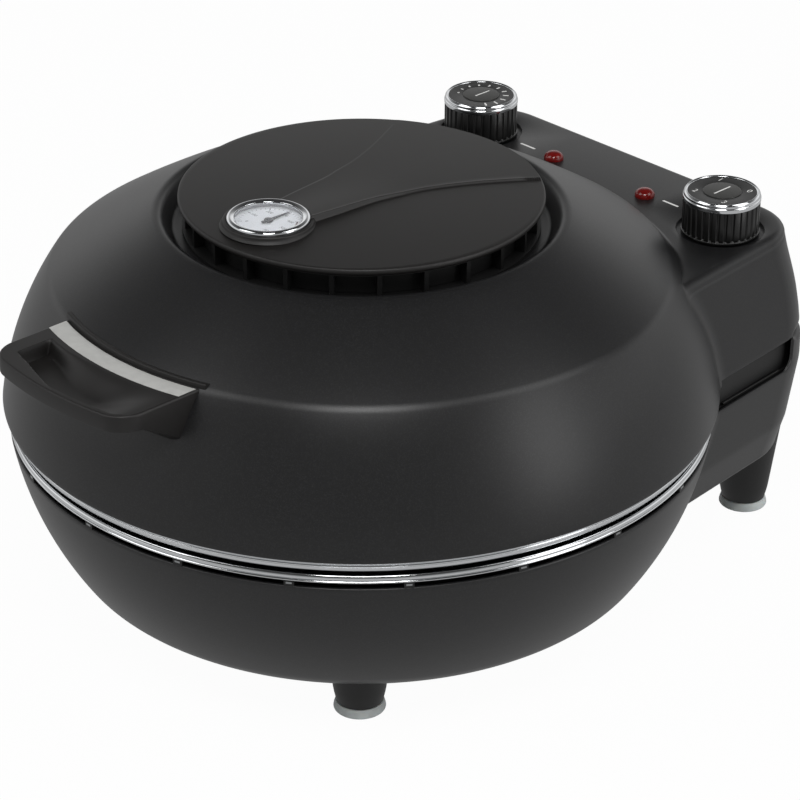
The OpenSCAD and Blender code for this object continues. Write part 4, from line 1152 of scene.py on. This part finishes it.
def legs():
    front, rear = ("front", 90.6, -86.2), ("rear", 86.6, 215.0)
    for (end, out, y), (side, way) in product((front, rear), ((-1, "left"), (1, "right"))):
        name, x = f"{end}_leg_{way}", side * out
        top = [(15.5, 28.5)] if y < 0 else [(17.6, 44, 6), (21.0, 70)]
        outline = rounded([(7, PAD_H), (12.0, PAD_H, 0.5), (13.5, 11.0, 5)] + top, 1)
        column = lathe(
            name + "_column", outline, (x, y), DARK, "base", "black_plastic", 96, 50, (name,)
        )
        for point in column.data.vertices:
            point.co.y = min(point.co.y, at(0, BOX_REAR - 0.4, 0).y)
        pad = rounded(
            [
                (0, 0), (13.1, 0, 0.4), (13.5, 0.7, 0.5), (13.1, 2.6, 1.5), (12.3, PAD_H, 0.5),
                (7, PAD_H),
            ],
            0.8,
        )
        pad_name = f"{end}_pad_{way}"
        lathe(
            pad_name + "_foot", pad, (x, y), SILICONE, "base", "pad_rubber", 96, 50, (pad_name,)
        )


# ---- finishes of the CAD nodes

FINISHES = (
    # these parts take the darker black plastic, whose colour is painted shade
    (DARK, "rim_clips", "rear_deck", "wiring_cover", "cable_gland", "vent_ring", "lid_box_floor"),
    (SHEET, "base_pan", "lid_liner", "thermometer_case", "control_bracket"),
    (STONE, "baking_stone"),
    (SHEATH, "lower_element", "upper_element"),
    (
        ZINC, "lower_element_clips", "cover_screws", "leg_screws", "hinge_pins",
        "upper_element_clips", "handle_screws", "thermostat", "left_knob_spindle",
        "right_knob_spindle",
    ),
    (
        STEATITE, "lower_bushes", "terminal_block", "upper_bushes", "lamp_holders",
        "selector_switch", "thermal_cutout",
    ),
    (SATIN, "base_hinge_brackets", "lid_hinge_brackets"),
    (DIAL_WHITE, "thermometer_dial"),
    (GLASS, "thermometer_glass"),
    (BLACK_INK, "thermometer_needle"),
    (COPPER, "sensor_capillary"),
)


def finish_nodes():
    for material, *names in FINISHES:
        for name in names:
            materials = NODES[name].data.materials
            materials.clear()
            materials.append(material)


# ---- stage, light and camera

LAMP_DISTANCE = 2.6
SENSOR_MM, FOCAL_PX, PICTURE_PX = 36, 3183.35, 800


def either(holder, a, b):
    """The larger of two outputs, each given as (node, output)."""
    return add_node(holder, "Math", {"operation": "MAXIMUM"}, {0: a, 1: b})


def seen_directly(holder, path):
    """1 for what the camera sees, also in a reflection or through glass, and otherwise 0."""
    mirrored = either(holder, (path, "Is Glossy Ray"), (path, "Is Transmission Ray"))
    return either(holder, (path, "Is Camera Ray"), (mirrored, "Value"))


def stage():
    mesh = bpy.data.meshes.new("floor")
    mesh.from_pydata([(-6, -6, 0), (6, -6, 0), (6, 6, 0), (-6, 6, 0)], [], [(0, 1, 2, 3)])
    floor = bpy.data.objects.new("floor", mesh)
    bpy.context.scene.collection.objects.link(floor)
    material, shader = new_material("matt_white_paper", "#f4f4f4", 0.9)
    tree = material.node_tree
    path = add_node(material, "LightPath")
    glow = add_node(material, "Emission", {"Strength": 1.0})
    mix = add_node(material, "MixShader", {}, {1: (shader, "BSDF"), 2: (glow, "Emission")})
    seen = seen_directly(material, path)
    share = add_node(material, "Math", {"operation": "MULTIPLY", 1: 0.97}, {0: (seen, "Value")})
    # the paper round the object is dimmer in a reflection, as it is under its shadow
    level = add_node(
        material, "Math", {"operation": "MULTIPLY_ADD", 1: -0.5, 2: 1.0},
        {0: (path, "Is Glossy Ray")},
    )
    tree.links.new(level.outputs[0], glow.inputs["Strength"])
    tree.links.new(share.outputs[0], mix.inputs[0])
    tree.links.new(mix.outputs[0], tree.nodes["Material Output"].inputs["Surface"])
    mesh.materials.append(material)


def world():
    """A white cove round a dark ceiling, dimmer on the side of the camera."""
    scene_world = bpy.data.worlds.new("studio")
    bpy.context.scene.world = scene_world
    scene_world.use_nodes = True
    tree = scene_world.node_tree
    back = tree.nodes["Background"]
    place = add_node(scene_world, "TexCoord")
    split = add_node(scene_world, "SeparateXYZ", {}, {"Vector": (place, "Generated")})
    cove = add_node(scene_world, "ValToRGB", {}, {"Fac": (split, "Z")})
    stops = cove.color_ramp.elements
    stops[0].color, stops[1].color = grey(0.5), grey(0.04)
    levels = {0.08: 0.8, 0.2: 1.0, 0.33: 0.85, 0.45: 0.32, 0.55: 0.16, 0.75: 0.06}
    for spot, level in levels.items():
        stops.new(spot).color = grey(level)
    ahead = add_node(
        scene_world, "VectorMath", {"operation": "DOT_PRODUCT", 1: (0.73, -0.68, 0)},
        {0: (place, "Generated")},
    )
    front = two_stops(scene_world, ahead, "Value", grey(1.0), grey(0.4), 0.1, 0.85)
    dimmed = add_node(
        scene_world, "Mix", {"data_type": "RGBA", "blend_type": "MULTIPLY", 0: 1.0},
        {6: (cove, "Color"), 7: (front, "Color")},
    )
    path = add_node(scene_world, "LightPath")
    direct = either(scene_world, (path, "Is Camera Ray"), (path, "Is Transmission Ray"))
    mix = add_node(
        scene_world, "Mix", {"data_type": "RGBA", 7: (1, 1, 1, 1)},
        {0: (direct, "Value"), 6: (dimmed, 2)},
    )
    tree.links.new(mix.outputs[2], back.inputs["Color"])
    back.inputs["Strength"].default_value = 1.0


def direction(a, e):
    """From the object towards azimuth a, counted from the front, and elevation e."""
    return Vector((sin(a) * cos(e), -cos(a) * cos(e), sin(e)))


def area_lamp(name, place, target, size, watts):
    light = bpy.data.lights.new(name, "AREA")
    light.shape = "RECTANGLE"
    light.size, light.size_y = size
    light.energy = watts
    lamp = bpy.data.objects.new(name, light)
    lamp.location = place
    lamp.rotation_euler = (Vector(target) - Vector(place)).to_track_quat("-Z", "Y").to_euler()
    bpy.context.scene.collection.objects.link(lamp)


def lights():
    softboxes = (
        ("front", 46.93, 58, 0.9, 24), ("left", -28, 50, 1.2, 12), ("right", 122, 50, 1.2, 12),
    )
    for name, azimuth, elevation, size, watts in softboxes:
        place = direction(radians(azimuth), radians(elevation)) * LAMP_DISTANCE
        area_lamp(f"{name}_softbox", place, (0, 0, 0.15), (size, size), watts)
    area_lamp("low_right_softbox", (2.2, 0.6, 0.7), (0, 0, 0.12), (0.8, 1.4), 8)


def camera():
    """The photograph's view: a long lens from the front right, a little above the object."""
    azimuth, elevation, distance = radians(46.93), radians(28.38), 1.68527
    swing, nod, roll = radians(-0.78), radians(-0.29), radians(0.34)
    eye = bpy.data.objects.new("camera", bpy.data.cameras.new("camera"))
    back = direction(azimuth + swing, elevation + nod)
    right = Vector((cos(azimuth + swing), sin(azimuth + swing), 0))
    up = back.cross(right)
    turned_right = right * cos(roll) + up * sin(roll)
    turned_up = up * cos(roll) - right * sin(roll)
    turn = Matrix((turned_right, turned_up, back)).transposed().to_4x4()
    place = Vector((0, DOME_Y * 0.001, 0.1)) + direction(azimuth, elevation) * distance
    eye.matrix_world = Matrix.Translation(place) @ turn
    eye.data.sensor_width = SENSOR_MM
    eye.data.lens = SENSOR_MM * FOCAL_PX / PICTURE_PX
    eye.data.clip_start = 0.05
    bpy.context.scene.collection.objects.link(eye)
    bpy.context.scene.camera = eye


camera()
lid_shell()
base_shell()
slot_sills()
trim_rings()
clip_tongues()
vent_cover()
thermometer()
knob(-1, "left_knob")
knob(1, "right_knob")
pilot_lamps()
handle()
legs()
finish_nodes()
stage()
world()
lights()
bpy.context.scene.view_settings.view_transform = "Standard"
